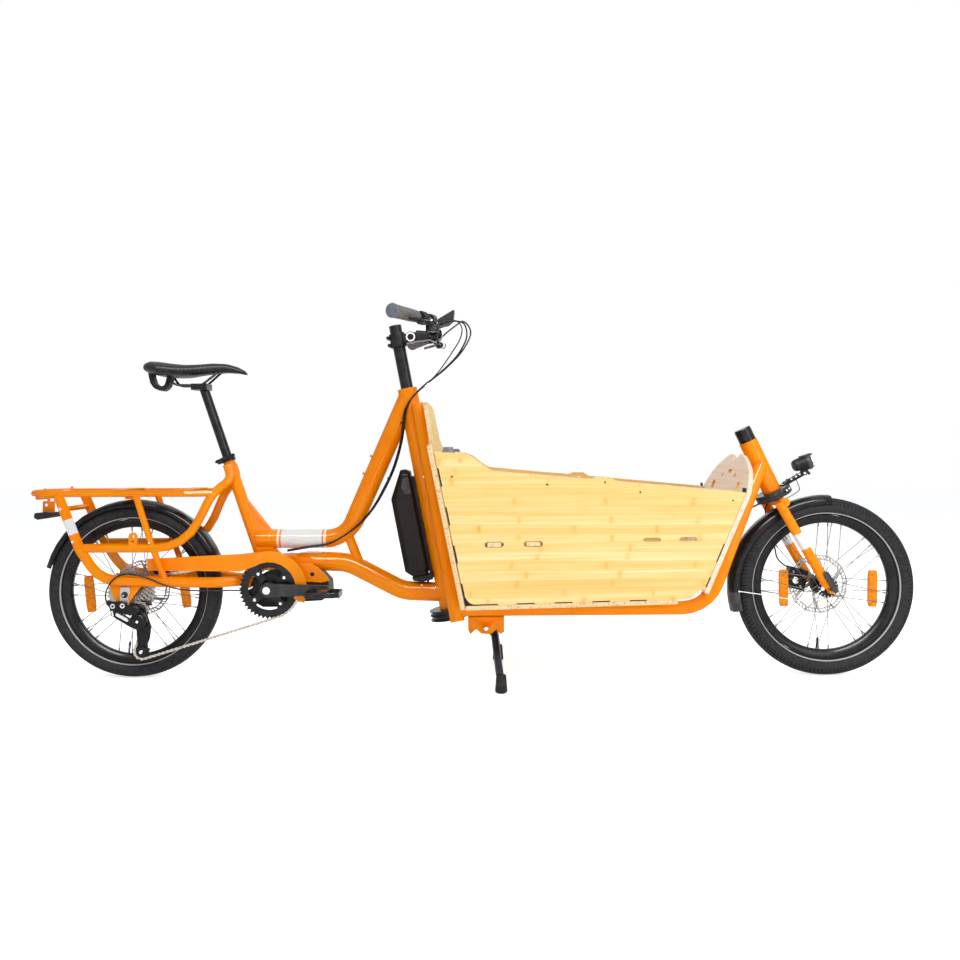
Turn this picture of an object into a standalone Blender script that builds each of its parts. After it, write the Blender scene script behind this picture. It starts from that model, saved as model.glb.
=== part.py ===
"""Long cargo bike with a bamboo box between the rider and the front wheel.

Sizes are in millimetres and the model is built in metres. X points forward, Z up,
the floor is Z = 0, and the near side, with the chain, is -Y.
"""

import math

import bmesh
import bpy
from mathutils import Vector
from mathutils.geometry import tessellate_polygon

MM = 0.001

# Clearances
TOUCH = 0.3
RUN = 1.0
NEAR = -1
FAR = 1
SIDES = (NEAR, FAR)
SIDE_NAMES = {NEAR: "near", FAR: "far"}

# Wheels
REAR_HUB_X = -989.3
WHEELBASE = 2010.4
TYRE_RADIUS = 258.0
REAR_TYRE_RADIUS = 251.0
TYRE_HALF_WIDTH = 27.0
REAR_FENDER_RADIUS = REAR_TYRE_RADIUS + 15.0
FRONT_FENDER_RADIUS = TYRE_RADIUS + 9.0
FENDER_FLARE = 15.0
RIM_RADIUS = 209.0
RIM_INNER_RADIUS = 185.0
RIM_HALF_WIDTH = 15.5
RIM_WALL = 2.3
RIM_BED_DEPTH = 3.0
WHEEL_STEPS = 28
SPOKE_RADIUS = 1.1
SPOKES_PER_FLANGE = 8
FLANGE_RADIUS = 30.0
FLANGE_Y = 30.0
FLANGE_THICKNESS = 5.0
HUB_BODY_RADIUS = 17.0
AXLE_RADIUS = 6.0
ROTOR_RADIUS = 88.0
ROTOR_BAND = 15.0
ROTOR_THICKNESS = 1.8
FRONT_ROTOR_Y = 43.5
REAR_ROTOR_Y = 52.0
FORK_INNER_Y = 50.0
DROPOUT_INNER_Y = 72.0
DROPOUT_THICKNESS = 6.0

# Rear frame
RACK_Z = 537.0
RACK_HALF_WIDTH = 80.0
RACK_RADIUS = 9.5
RACK_REAR_X = -1269.6
RACK_FRONT_X = -748.0
RACK_PLATE_X = (-1016.0, -828.0)
STAY_Y = 84.0
STAY_HALF_HEIGHT = 15.0
STAY_HALF_THICKNESS = 12.0
MID_RAIL_Z = 383.0
MID_RAIL_RADIUS = 12.5
STRUT_RADIUS = 9.0
BRACKET_REAR_X = -672.0
STAY_END_Z = 281.0

# Seat
SEAT_SLOPE = 0.338
SEAT_TOP_Z = 640.0
SEAT_TOP_X = -722.0
SEAT_TUBE_RADIUS = 17.0
POST_RADIUS = 13.6
POST_TOP_Z = 838.0
POST_LENGTH = 330.0
POST_TRAVEL_DOWN = 80.0

# Main frame
STEP_TUBE_RADIUS = 27.5
STEP_TUBE_Z = 400.5
LOWER_TUBE_RADIUS = 28.0
STRUT_TUBE_RADIUS = 14.0

# Steering column
COLUMN_SLOPE = 0.1908
COLUMN_FOOT_X = -71.0
PULLEY_Z = 185.0
COLUMN_RADIUS = 28.5
COLUMN_BORE = 19.2
COLUMN_TOP_Z = 838.0
MAST_RADIUS = 18.5
MAST_TOP_Z = 1022.0
REAR_PULLEY_RADIUS = 60.0
REAR_PULLEY_HALF = 15.0

# Cargo frame
UPRIGHT_AHEAD = 25.0
UPRIGHT_RADIUS = 20.0
UPRIGHT_TOP_Z = 790.0
UPRIGHT_TOP_Y = 38.0
UPRIGHT_FOOT_Z = 186.0
UPRIGHT_FOOT_Y = 152.0
RAIL_RADIUS = 19.0
RAIL_Z = 219.0
RAIL_REAR_Y = 148.0
RAIL_CORNER_X = 646.0
RAIL_CORNER_Y = 132.0
RAIL_BEND = 115.0
HEAD_SLOPE = 0.4812
FRONT_PULLEY_X = 874.0
FRONT_PULLEY_Z = 528.0
FRONT_PULLEY_RADIUS = 52.5
FRONT_PULLEY_HALF = 9.5
GROOVE_DEPTH = 6.0
HEAD_TUBE_RADIUS = 26.5
HEAD_TUBE_BORE = 15.2
HEAD_TUBE_TOP = 171.0
STEERER_RADIUS = 14.2
STUB_RADIUS = 24.5
STUB_HEIGHT = 40.0

# Cargo box
PLY = 12.5
FLOOR_TOP_Z = 251.0
FLOOR_REBATE = 1.0
BOX_REAR_X = -24.0
FLOOR_FRONT_X = 550.0
FLOOR_NOSE_X = 606.0
FLOOR_NOSE_HALF_WIDTH = 105.0
BOX_HALF_WIDTH = 275.0
BOX_TAPER = -0.148
BOX_SPLAY = 0.202
BOX_BASE_Z = 253.0
FRONT_SLOPE = 0.378
FRONT_BASE_X = 627.0
FRONT_BASE_Z = 276.0
JOINT_GAP = 0.8
NOTCH_DEPTH = 3.2
NOTCH_LENGTH = 48.0
BENCH_Z = 412.0
BENCH_FRONT_X = 190.0
TAB_SLOT = (51.0, 15.0)
OPEN_SLOT = (50.0, 13.0)

# Drive
CRANK_X = -585.0
CRANK_Z = 264.0
CRANK_LENGTH = 170.0
CRANK_INNER_Y = 86.0
CRANK_THICKNESS = 14.0
SPINDLE_RADIUS = 11.0
CHAIN_Y = -59.7
CHAIN_PITCH = 12.7
RING_TEETH = 42
COG_TEETH = (11, 13, 15, 17, 20, 23, 26, 30, 34)
CHAIN_COG = 2
COG_SPACING = 3.95
COG_THICKNESS = 1.6
JOCKEY_TEETH = 11
JOCKEY_THICKNESS = 2.0
UPPER_JOCKEY = (REAR_HUB_X + 33.3, REAR_TYRE_RADIUS - 48.0)
LOWER_JOCKEY = (REAR_HUB_X + 40.3, REAR_TYRE_RADIUS - 165.0)
DERAILLEUR_BOLT = (REAR_HUB_X - 20.7, REAR_TYRE_RADIUS - 35.0)
CHAIN_HALF_HEIGHT = 4.0
CHAIN_PLATE = 1.0
CHAIN_INNER_HALF = 1.45
CHAIN_CLEAR_OF_TEETH = 42.0
MOTOR_HALF_WIDTH = 40.0
MOTOR_BOSS = 9.0
GUARD_Y = -66.5
GUARD_THICKNESS = 2.0
PEDAL_SIZE = (96.0, 90.0, 20.0)
PEDAL_GAP = 5.0
PEDAL_AXLE_RADIUS = 6.0
PEDAL_AXLE_END = CRANK_INNER_Y + CRANK_THICKNESS + PEDAL_GAP + PEDAL_SIZE[1] - 16.0

# Kickstand
STAND_X = 32.0
STAND_Z = 163.0
STAND_PLATE_Y = 124.0
STAND_PLATE = 4.0
STAND_LEG_RADIUS = 11.0
STAND_BOLT_RADIUS = 6.0
FOOT_HEIGHT = 48.0
FOOT_RADIUS = 17.0
FOOT_X = 72.0
FOOT_Y = 185.0

# Battery
BATTERY_HALF_WIDTH = 42.0
BATTERY_RAIL = 8.0
BATTERY_FOOT_RADIUS = 60.0
BATTERY_FOOT_Z = 306.0

# Handlebar
BAR_RADIUS = 11.1
BAR_CLAMP_RADIUS = 15.9
BAR_X = -113.0
BAR_Z = 995.0
GRIP_RADIUS = 17.0
STEM_PIVOT = (-184.0, 987.0)
CABLE_RADIUS = 2.5

# Colours, roughness and metallic value of each finish
FINISHES = {
    "orange": ((1.0, 0.29, 0.0), 0.25, 0.0),
    "bamboo": ((0.93, 0.76, 0.42), 0.5, 0.0),
    "black metal": ((0.02, 0.02, 0.022), 0.3, 0.6),
    "black plastic": ((0.02, 0.02, 0.022), 0.45, 0.0),
    "grey plastic": ((0.12, 0.12, 0.125), 0.5, 0.0),
    "rubber": ((0.025, 0.025, 0.027), 0.8, 0.0),
    "silver": ((0.62, 0.62, 0.64), 0.28, 0.95),
    "saddle": ((0.03, 0.03, 0.032), 0.6, 0.0),
}


def clear_scene():
    for item in list(bpy.data.objects):
        bpy.data.objects.remove(item, do_unlink=True)


# Shapes: each is a pair of a point list and a face list, in millimetres


def circle(radius, sides, turn=0.0):
    step = math.tau / sides
    return [
        (radius * math.cos(turn + step * i), radius * math.sin(turn + step * i))
        for i in range(sides)
    ]


def oval(half_a, half_b, sides):
    return [(half_a * a, half_b * b) for a, b in circle(1.0, sides)]


def arc(centre, radius, start_deg, end_deg, steps):
    points = []
    for i in range(steps + 1):
        angle = math.radians(start_deg + (end_deg - start_deg) * i / steps)
        points.append((centre[0] + radius * math.cos(angle), centre[1] + radius * math.sin(angle)))
    return points


def rounded_slot(centre, size, angle_deg=0.0, steps=2):
    """A slot with round ends, as a closed outline."""
    half = (size[0] - size[1]) / 2
    radius = size[1] / 2
    points = arc((half, 0.0), radius, -90, 90, steps + 1) + arc((-half, 0.0), radius, 90, 270, steps + 1)
    angle = math.radians(angle_deg)
    return [
        (
            centre[0] + x * math.cos(angle) - y * math.sin(angle),
            centre[1] + x * math.sin(angle) + y * math.cos(angle),
        )
        for x, y in points
    ]


def bend(corners, radius, steps=4):
    """A path through the corners, with each inner corner rounded."""
    corners = [Vector(c) for c in corners]
    path = [corners[0]]
    for before, corner, after in zip(corners, corners[1:], corners[2:]):
        back = (before - corner).normalized()
        ahead = (after - corner).normalized()
        half = back.angle(ahead) / 2
        room = 0.49 * min((before - corner).length, (after - corner).length)
        reach = min(radius / math.tan(half), room)
        actual = reach * math.tan(half)
        centre = corner + (back + ahead).normalized() * (actual / math.sin(half))
        start = corner + back * reach - centre
        end = corner + ahead * reach - centre
        turn = start.angle(end)
        for i in range(steps + 1):
            share = i / steps
            mix = start * math.sin((1 - share) * turn) + end * math.sin(share * turn)
            path.append(centre + mix / math.sin(turn))
    path.append(corners[-1])
    return path


def sweep(path, section, side=(0.0, 1.0, 0.0), sizes=None):
    """A closed solid that follows the path; the section's first axis starts along side."""
    path = [Vector(p) for p in path]
    last = len(path) - 1
    side = Vector(side)
    points = []
    for i, point in enumerate(path):
        before = (point - path[max(i - 1, 0)]).normalized()
        after = (path[min(i + 1, last)] - point).normalized()
        tangent = (before + after).normalized()
        side = (side - side.dot(tangent) * tangent).normalized()
        up = tangent.cross(side)
        size = sizes[i] if sizes else 1.0
        points += [point + (side * a + up * b) * size for a, b in section]
    count = len(section)
    faces = [tuple(range(count)), tuple(last * count + i for i in range(count))]
    for ring in range(last):
        for i in range(count):
            j = (i + 1) % count
            low = ring * count
            faces.append((low + i, low + j, low + count + j, low + count + i))
    return points, faces


def rod(start, end, radius, sides=12):
    across = (0.0, 1.0, 0.0)
    if abs((Vector(end) - Vector(start)).normalized().y) > 0.9:
        across = (1.0, 0.0, 0.0)
    return sweep([start, end], circle(radius, sides), across)


def turned(profile, centre, axis=(0.0, 1.0, 0.0), sides=24):
    """A solid of revolution; profile points are (distance along the axis, radius)."""
    axis = Vector(axis).normalized()
    across = Vector((1.0, 0.0, 0.0)) if abs(axis.x) < 0.9 else Vector((0.0, 0.0, 1.0))
    across = (across - across.dot(axis) * axis).normalized()
    third = axis.cross(across)
    centre = Vector(centre)
    open_ends = profile[0][1] == 0.0
    points = []
    rings = []
    for along, radius in profile:
        if radius == 0.0:
            rings.append([len(points)] * sides)
            points.append(centre + axis * along)
            continue
        rings.append([len(points) + i for i in range(sides)])
        for a, b in circle(radius, sides):
            points.append(centre + axis * along + across * a + third * b)
    faces = []
    pairs = list(zip(rings, rings[1:]))
    if not open_ends:
        pairs.append((rings[-1], rings[0]))
    for low, high in pairs:
        for i in range(sides):
            j = (i + 1) % sides
            corners = [low[i], low[j], high[j], high[i]]
            faces.append(tuple(dict.fromkeys(corners)))
    return points, faces


def disc(centre, radius, half, axis=(0.0, 1.0, 0.0), sides=16):
    reach = Vector(axis).normalized() * half
    centre = Vector(centre)
    across = (1.0, 0.0, 0.0) if abs(reach.x) < 0.9 * half else (0.0, 0.0, 1.0)
    return sweep([centre - reach, centre + reach], circle(radius, sides), across)


def pipe(centre, outer, inner, half, axis=(0.0, 1.0, 0.0), sides=16):
    ring = [(-half, inner), (-half, outer), (half, outer), (half, inner)]
    return turned(ring, centre, axis, sides)


def slab(outline, holes, origin, first, second, low, high):
    """A plate in the plane of first and second, between two heights along its normal."""
    origin = Vector(origin)
    first = Vector(first)
    second = Vector(second)
    normal = first.cross(second).normalized()
    loops = [outline] + list(holes)
    flat = [Vector((a, b, 0.0)) for loop in loops for a, b in loop]
    nested = [[Vector((a, b, 0.0)) for a, b in loop] for loop in loops]
    triangles = tessellate_polygon(nested) if holes else [tuple(range(len(outline)))]
    count = len(flat)
    points = []
    for height in (low, high):
        points += [origin + first * p.x + second * p.y + normal * height for p in flat]
    faces = [tuple(t) for t in triangles] + [tuple(i + count for i in t) for t in triangles]
    start = 0
    for loop in loops:
        for i in range(len(loop)):
            j = (i + 1) % len(loop)
            a = start + i
            b = start + j
            faces.append((a, b, b + count, a + count))
        start += len(loop)
    return points, faces


def side_slab(outline, holes, low, high):
    """A plate in the XZ plane, between two values of Y."""
    return slab(outline, holes, (0, 0, 0), (1, 0, 0), (0, 0, 1), -high, -low)


def block(centre, size, first=(1.0, 0.0, 0.0), second=(0.0, 0.0, 1.0)):
    """A box; size runs along first, along the normal, and along second."""
    a, thick, b = (value / 2 for value in size)
    outline = [(-a, -b), (a, -b), (a, b), (-a, b)]
    first = Vector(first).normalized()
    second = Vector(second).normalized()
    return slab(outline, [], centre, first, second, -thick, thick)


def mirrored(solid):
    points, faces = solid
    return [Vector((p[0], -p[1], p[2])) for p in points], [tuple(reversed(f)) for f in faces]


def on_side(solid, side):
    """The solid as drawn for the far side, or its mirror image for the near side."""
    return solid if side == FAR else mirrored(solid)


def mesh_of(name, points, faces, origin=(0.0, 0.0, 0.0)):
    origin = Vector(origin)
    mesh = bpy.data.meshes.new(name)
    mesh.from_pydata([(Vector(p) - origin) * MM for p in points], [], faces)
    work = bmesh.new()
    work.from_mesh(mesh)
    bmesh.ops.recalc_face_normals(work, faces=work.faces)
    work.to_mesh(mesh)
    work.free()
    return mesh


def combined(base, others, operation):
    """The base joined with, or cut by, the other solids, one after another."""
    for other in others:
        scratch = []
        for solid in (base, other):
            item = bpy.data.objects.new("scratch", mesh_of("scratch", *solid))
            bpy.context.scene.collection.objects.link(item)
            scratch.append(item)
        change = scratch[0].modifiers.new("change", "BOOLEAN")
        change.solver = "EXACT"
        change.operation = operation
        change.object = scratch[1]
        graph = bpy.context.evaluated_depsgraph_get()
        mesh = scratch[0].evaluated_get(graph).to_mesh()
        base = ([v.co / MM for v in mesh.vertices], [tuple(f.vertices) for f in mesh.polygons])
        for item in scratch:
            bpy.data.objects.remove(item, do_unlink=True)
    return base


def join(*solids):
    return combined(solids[0], solids[1:], "UNION")


def cut(base, *tools):
    return combined(base, tools, "DIFFERENCE")


def common(base, *others):
    return combined(base, others, "INTERSECT")


def material(name, finish):
    colour, roughness, metallic = FINISHES[finish]
    made = bpy.data.materials.new(name)
    made.use_nodes = True
    shader = made.node_tree.nodes["Principled BSDF"]
    shader.inputs["Base Color"].default_value = (*colour, 1.0)
    shader.inputs["Roughness"].default_value = roughness
    shader.inputs["Metallic"].default_value = metallic
    return made


def add(name, finish, solids, origin=(0.0, 0.0, 0.0), sharp_deg=35.0):
    """One named object of one or more closed bodies, with its origin at a point."""
    points = []
    faces = []
    for solid in solids:
        start = len(points)
        points += list(solid[0])
        faces += [tuple(i + start for i in face) for face in solid[1]]
    mesh = mesh_of(name, points, faces, origin)
    mesh.shade_smooth()
    mesh.set_sharp_from_angle(angle=math.radians(sharp_deg))
    mesh.materials.append(material(name, finish))
    item = bpy.data.objects.new(name, mesh)
    item.location = Vector(origin) * MM
    bpy.context.scene.collection.objects.link(item)
    return item


# Places that several pieces share


def column_x(z):
    return COLUMN_FOOT_X - COLUMN_SLOPE * (z - PULLEY_Z)


COLUMN_UP = Vector((-COLUMN_SLOPE, 0.0, 1.0)).normalized()
COLUMN_FOOT = Vector((COLUMN_FOOT_X, 0.0, PULLEY_Z))
COLUMN_AHEAD = Vector((COLUMN_UP.z, 0.0, -COLUMN_UP.x))
HEAD_UP = Vector((-HEAD_SLOPE, 0.0, 1.0)).normalized()
FRONT_PULLEY = Vector((FRONT_PULLEY_X, 0.0, FRONT_PULLEY_Z))
HEAD_AHEAD = Vector((HEAD_UP.z, 0.0, -HEAD_UP.x))
SEAT_UP = Vector((-SEAT_SLOPE, 0.0, 1.0)).normalized()
SEAT_TOP = Vector((SEAT_TOP_X, 0.0, SEAT_TOP_Z))
SEAT_AHEAD = Vector((SEAT_UP.z, 0.0, -SEAT_UP.x))
FRONT_HUB_X = REAR_HUB_X + WHEELBASE
HUB_Z = TYRE_RADIUS
REAR_HUB_Z = REAR_TYRE_RADIUS
REAR_HUB = Vector((REAR_HUB_X, 0.0, REAR_HUB_Z))
FRONT_HUB = Vector((FRONT_HUB_X, 0.0, HUB_Z))
CRANK = Vector((CRANK_X, 0.0, CRANK_Z))
CRANK_REACH = CRANK_INNER_Y + CRANK_THICKNESS
BACK_FACE_X = column_x(RAIL_Z) + UPRIGHT_AHEAD + UPRIGHT_RADIUS / COLUMN_UP.z + TOUCH


HEADLIGHT_PIVOT = Vector((962, 0, 588))


def column_at(height):
    return COLUMN_FOOT + COLUMN_UP * height


def head_at(height):
    return FRONT_PULLEY + HEAD_UP * height


def seat_at(height):
    return SEAT_TOP + SEAT_UP * height


def seat_post_top():
    """Height of the seatpost's top along its axis, above the seat tube's top."""
    return (POST_TOP_Z - SEAT_TOP_Z) / SEAT_UP.z


def pitch_radius(teeth):
    return teeth * CHAIN_PITCH / math.tau


def box_half_width(x, z):
    return BOX_HALF_WIDTH + BOX_TAPER * (x - BOX_REAR_X) + BOX_SPLAY * (z - BOX_BASE_Z)


def back_x(z):
    """Rear face of the back panel."""
    return BACK_FACE_X - COLUMN_SLOPE * (z - RAIL_Z)


def front_x(z):
    """Rear face of the front panel."""
    return FRONT_BASE_X + FRONT_SLOPE * (z - FRONT_BASE_Z)


# Wheels


def make_tyre(name, hub):
    radius = hub.z
    bead = RIM_HALF_WIDTH - RIM_WALL - TOUCH
    half = TYRE_HALF_WIDTH
    bed = RIM_RADIUS - RIM_BED_DEPTH + TOUCH
    profile = [
        (bead, bed),
        (bead, RIM_RADIUS + TOUCH),
        (half, radius - 0.62 * (radius - RIM_RADIUS)),
        (0.82 * half, radius - 11.0),
        (0.3 * half, radius),
    ]
    ring = profile + [(-y, r) for y, r in reversed(profile)]
    add(name, "rubber", [turned(ring, hub, sides=WHEEL_STEPS)], hub)


def make_rim(name, hub):
    half = RIM_HALF_WIDTH
    profile = [
        (half - RIM_WALL, RIM_RADIUS - RIM_BED_DEPTH),
        (half - RIM_WALL, RIM_RADIUS),
        (half, RIM_RADIUS),
        (0.62 * half, RIM_INNER_RADIUS),
    ]
    ring = profile + [(-y, r) for y, r in reversed(profile)]
    add(name, "black metal", [turned(ring, hub, sides=WHEEL_STEPS)], hub)


def spoke(hub, side, index):
    """One spoke from its flange to just inside the rim."""
    step = math.tau / SPOKES_PER_FLANGE
    lean = 1 if index % 2 else -1
    start_angle = step * (index + 0.25 * side)
    end_angle = start_angle + lean * 2.0 * step
    offset = lean * (SPOKE_RADIUS + TOUCH)
    start_r = FLANGE_RADIUS - 3.0
    end_r = RIM_INNER_RADIUS * math.cos(math.pi / WHEEL_STEPS) - TOUCH
    start = Vector((start_r * math.cos(start_angle), side * FLANGE_Y + offset / 2, start_r * math.sin(start_angle)))
    end = Vector((end_r * math.cos(end_angle), side * 4.5 + offset, end_r * math.sin(end_angle)))
    return rod(hub + start, hub + end, SPOKE_RADIUS, 3)

def make_hub(name, hub, half_length, rotor_y):
    bore = AXLE_RADIUS + RUN
    body = HUB_BODY_RADIUS
    flange_in = FLANGE_Y - FLANGE_THICKNESS / 2
    flange_out = FLANGE_Y + FLANGE_THICKNESS / 2
    seat = rotor_y - ROTOR_THICKNESS / 2 - TOUCH
    right = [(flange_in, body), (flange_in, FLANGE_RADIUS), (flange_out, FLANGE_RADIUS)]
    rotor_seat = [(seat, body + 4.0), (seat, body), (half_length, body), (half_length, bore)]
    left = [(-half_length, bore), (-half_length, body - 4.0), (-flange_out, body - 4.0)]
    left += [(-flange_out, FLANGE_RADIUS), (-flange_in, FLANGE_RADIUS), (-flange_in, body)]
    shell = turned(left + right + rotor_seat, hub, sides=14)
    spokes = [spoke(hub, side, i) for side in SIDES for i in range(SPOKES_PER_FLANGE)]
    add(name, "black metal", [join(shell, *spokes)], hub)

def make_rotor(name, hub, rotor_y):
    inner = ROTOR_RADIUS - ROTOR_BAND
    windows = 6
    holes = [circle(HUB_BODY_RADIUS + TOUCH, 14)]
    for i in range(windows):
        start = 360 / windows * i + 6
        end = 360 / windows * (i + 1) - 6
        outer = arc((0, 0), inner, start, end, 3)
        holes.append(outer + arc((0, 0), HUB_BODY_RADIUS + 14.0, end + 14, start + 14, 1))
    low = rotor_y - ROTOR_THICKNESS / 2
    plate = slab(circle(ROTOR_RADIUS, 24), holes, hub, (1, 0, 0), (0, 0, 1), -low - ROTOR_THICKNESS, -low)
    add(name, "silver", [plate], hub)



def make_wheel(prefix, hub, half_length, rotor_y):
    make_tyre(prefix + "_tyre", hub)
    make_rim(prefix + "_rim", hub)
    make_hub(prefix + "_hub", hub, half_length, rotor_y)
    make_rotor(prefix + "_rotor", hub, rotor_y)


# Frame


def lower_tube_path(extra):
    """Centre line of the lower tube, with a little more at its rear end."""
    corners = [(-555 - extra, 319.5 - extra / 4), (-486, 337), (-368, 331), (-208, 248), (column_x(243), 243)]
    return bend([(x, 0, z) for x, z in corners], 110, 3)


def make_main_frame():
    seat_tube = rod(seat_at(0), seat_at(-320), SEAT_TUBE_RADIUS, 14)
    gusset = side_slab([(-672, 525), (-592, 424), (-640, 396), (-655, 440)], [], -11, 11)
    spine_path = bend([(-634, 0, STEP_TUBE_Z), (-374, 0, STEP_TUBE_Z), (column_x(806) - 6, 0, 806)], 92, 6)
    spine_sizes = [1.0] + [1.0, 0.97, 0.93, 0.9, 0.93, 0.97, 1.02] + [1.05]
    spine = sweep(spine_path, circle(STEP_TUBE_RADIUS, 12), sizes=spine_sizes)
    lower = sweep(lower_tube_path(0.0), circle(LOWER_TUBE_RADIUS, 12))
    strut = rod((-369, 0, 410), (-334, 0, 322), STRUT_TUBE_RADIUS, 10)
    column_base = REAR_PULLEY_HALF + TOUCH
    column_top = (COLUMN_TOP_Z - PULLEY_Z) / COLUMN_UP.z
    column = rod(column_at(column_base), column_at(column_top), COLUMN_RADIUS, 16)
    saddle_plate = [
        (BRACKET_REAR_X, 262), (BRACKET_REAR_X, 300), (-648, 330), (-610, 350), (-540, 356),
        (-480, 350), (-462, 330), (-500, 312), (-560, 318), (-610, 312), (-640, 290), (-648, 262),
    ]
    bracket = side_slab(saddle_plate, [], -36, 36)
    web = side_slab([(-636, 345), (-560, 350), (-606, 395), (-636, 395)], [], -14, 14)
    bosses = [rod((x, 0, z), (x - 9, 0, z + 4), 4.0, 6) for x, z in ((-296, 639), (-318, 588))]
    frame = join(spine, seat_tube, gusset, strut, lower, column, bracket, web, *bosses)
    bore_end = seat_post_top() - POST_LENGTH - POST_TRAVEL_DOWN - 8
    post_bore = rod(seat_at(5), seat_at(bore_end), POST_RADIUS + TOUCH, 14)
    mast_bore = rod(column_at(column_base - 5), column_at(column_top + 5), COLUMN_BORE, 16)
    add("main_frame", "orange", [cut(frame, post_bore, mast_bore)])


def stay_path(side):
    """Rear stay from the rack down past the dropout to the motor bracket."""
    corners = [
        (-1179, RACK_HALF_WIDTH, RACK_Z - 4), (-1116, STAY_Y, 380), (-1058, STAY_Y, 293),
        (-873, STAY_Y, 287), (-742, 64, 282), (BRACKET_REAR_X + 20, 6, STAY_END_Z),
    ]
    return bend([(x, side * y, z) for x, y, z in corners], 90, 3)


def light_bracket():
    """A plate under the rack's rear bow that carries the tail light."""
    outline = [(-1262, 512), (-1228, 512), (-1228, 480), (-1262, 480)]
    hole = [(-1252 + a, 501 + b) for a, b in circle(5, 8)]
    plate = side_slab(outline, [hole], -2, 2)
    cross = rod((-1245, -67, 524), (-1245, 67, 524), 5, 8)
    post = rod((-1245, 0, 508), (-1245, 0, 524), 4, 6)
    return plate, cross, post


def make_rear_frame():
    half = RACK_HALF_WIDTH
    near_rail = [(RACK_FRONT_X, -62, RACK_Z), (-812, -half, RACK_Z), (RACK_REAR_X, -half, RACK_Z)]
    far_rail = [(x, -y, z) for x, y, z in reversed(near_rail)]
    pieces = [sweep(bend(near_rail + far_rail, 62, 4), circle(RACK_RADIUS, 8), (0, 0, 1))]
    seat_side = SEAT_TUBE_RADIUS + MID_RAIL_RADIUS + TOUCH
    for side in SIDES:
        pieces.append(sweep(stay_path(side), oval(STAY_HALF_THICKNESS, STAY_HALF_HEIGHT, 8)))
        rail = [
            (-1122, STAY_Y, MID_RAIL_Z), (-818, STAY_Y, MID_RAIL_Z), (-748, 62, 536),
            (SEAT_TOP_X + 0.338 * 62, seat_side, 578), (SEAT_TOP_X + 0.338 * 22, seat_side, 618),
        ]
        rail_path = bend([(x, side * y, z) for x, y, z in rail], 150, 4)
        pieces.append(sweep(rail_path, circle(MID_RAIL_RADIUS, 8)))
        strut = [(-960, side * half, RACK_Z), (-912, side * STAY_Y, 390), (-873, side * STAY_Y, 288)]
        pieces.append(sweep(strut, circle(STRUT_RADIUS, 6)))
    pieces.append(rod((-1166, -half, 493), (-1166, half, 493), 8.0, 6))
    rail_top = RACK_Z + RACK_RADIUS
    for x in RACK_PLATE_X:
        pieces.append(block((x, 0, rail_top - 1.0), (44, 2 * half + 5, 5)))
    fender_top = REAR_HUB_Z + REAR_FENDER_RADIUS + 2 * TOUCH
    spacer_size = (22, 24, rail_top - fender_top)
    pieces.append(block((RACK_PLATE_X[0] + 10, 0, fender_top + spacer_size[2] / 2), spacer_size))
    for side in SIDES:
        pieces.append(rod((-1215, side * half, RACK_Z), (-1215, side * half, rail_top + 6), 3.5, 6))
    frame = join(*pieces)
    drops = []
    feet = {FAR: [(-12.7, -18), (11.3, -18)], NEAR: [(-24.7, -25), (-12.7, -39), (5.3, -37), (13.3, -18)]}
    for side in SIDES:
        foot = [(REAR_HUB_X + x, REAR_HUB_Z + z) for x, z in feet[side]]
        outline = [(-1040, 290), (REAR_HUB_X - 32.7, REAR_HUB_Z - 10)] + foot + [(REAR_HUB_X + 45.3, 276), (-936, 290)]
        plate = side_slab(outline, [], DROPOUT_INNER_Y, DROPOUT_INNER_Y + DROPOUT_THICKNESS)
        drops.append(on_side(plate, side))
    eyelet_y = STAY_Y + MID_RAIL_RADIUS - 6
    eyelet_outline = [(-974, MID_RAIL_Z), (-949, MID_RAIL_Z)] + arc((-961.5, 416), 12.5, 0, 180, 5)
    eyelet = side_slab(eyelet_outline, [], -eyelet_y - 4, -eyelet_y)
    frame = join(frame, eyelet, *light_bracket(), *drops)
    bracket_room = block((BRACKET_REAR_X - TOUCH + 50, 0, STAY_END_Z), (100, 120, 80))
    axle_holes = rod(REAR_HUB - Vector((0, 110, 0)), REAR_HUB + Vector((0, 110, 0)), AXLE_RADIUS + TOUCH, 12)
    eyelet_holes = [
        rod((-961.5, -eyelet_y - 9, z), (-961.5, 9 - eyelet_y, z), 4.5, 6) for z in (402.5, 417)
    ]
    add("rear_frame", "orange", [cut(frame, axle_holes, bracket_room, *eyelet_holes)])


def rail_path(side):
    corners = [
        (column_x(RAIL_Z) + UPRIGHT_AHEAD, RAIL_REAR_Y, RAIL_Z),
        (RAIL_CORNER_X, RAIL_CORNER_Y, RAIL_Z),
        (head_at(92).x - 4, 24, head_at(92).z),
    ]
    return bend([(x, side * y, z) for x, y, z in corners], RAIL_BEND, 5)


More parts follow.
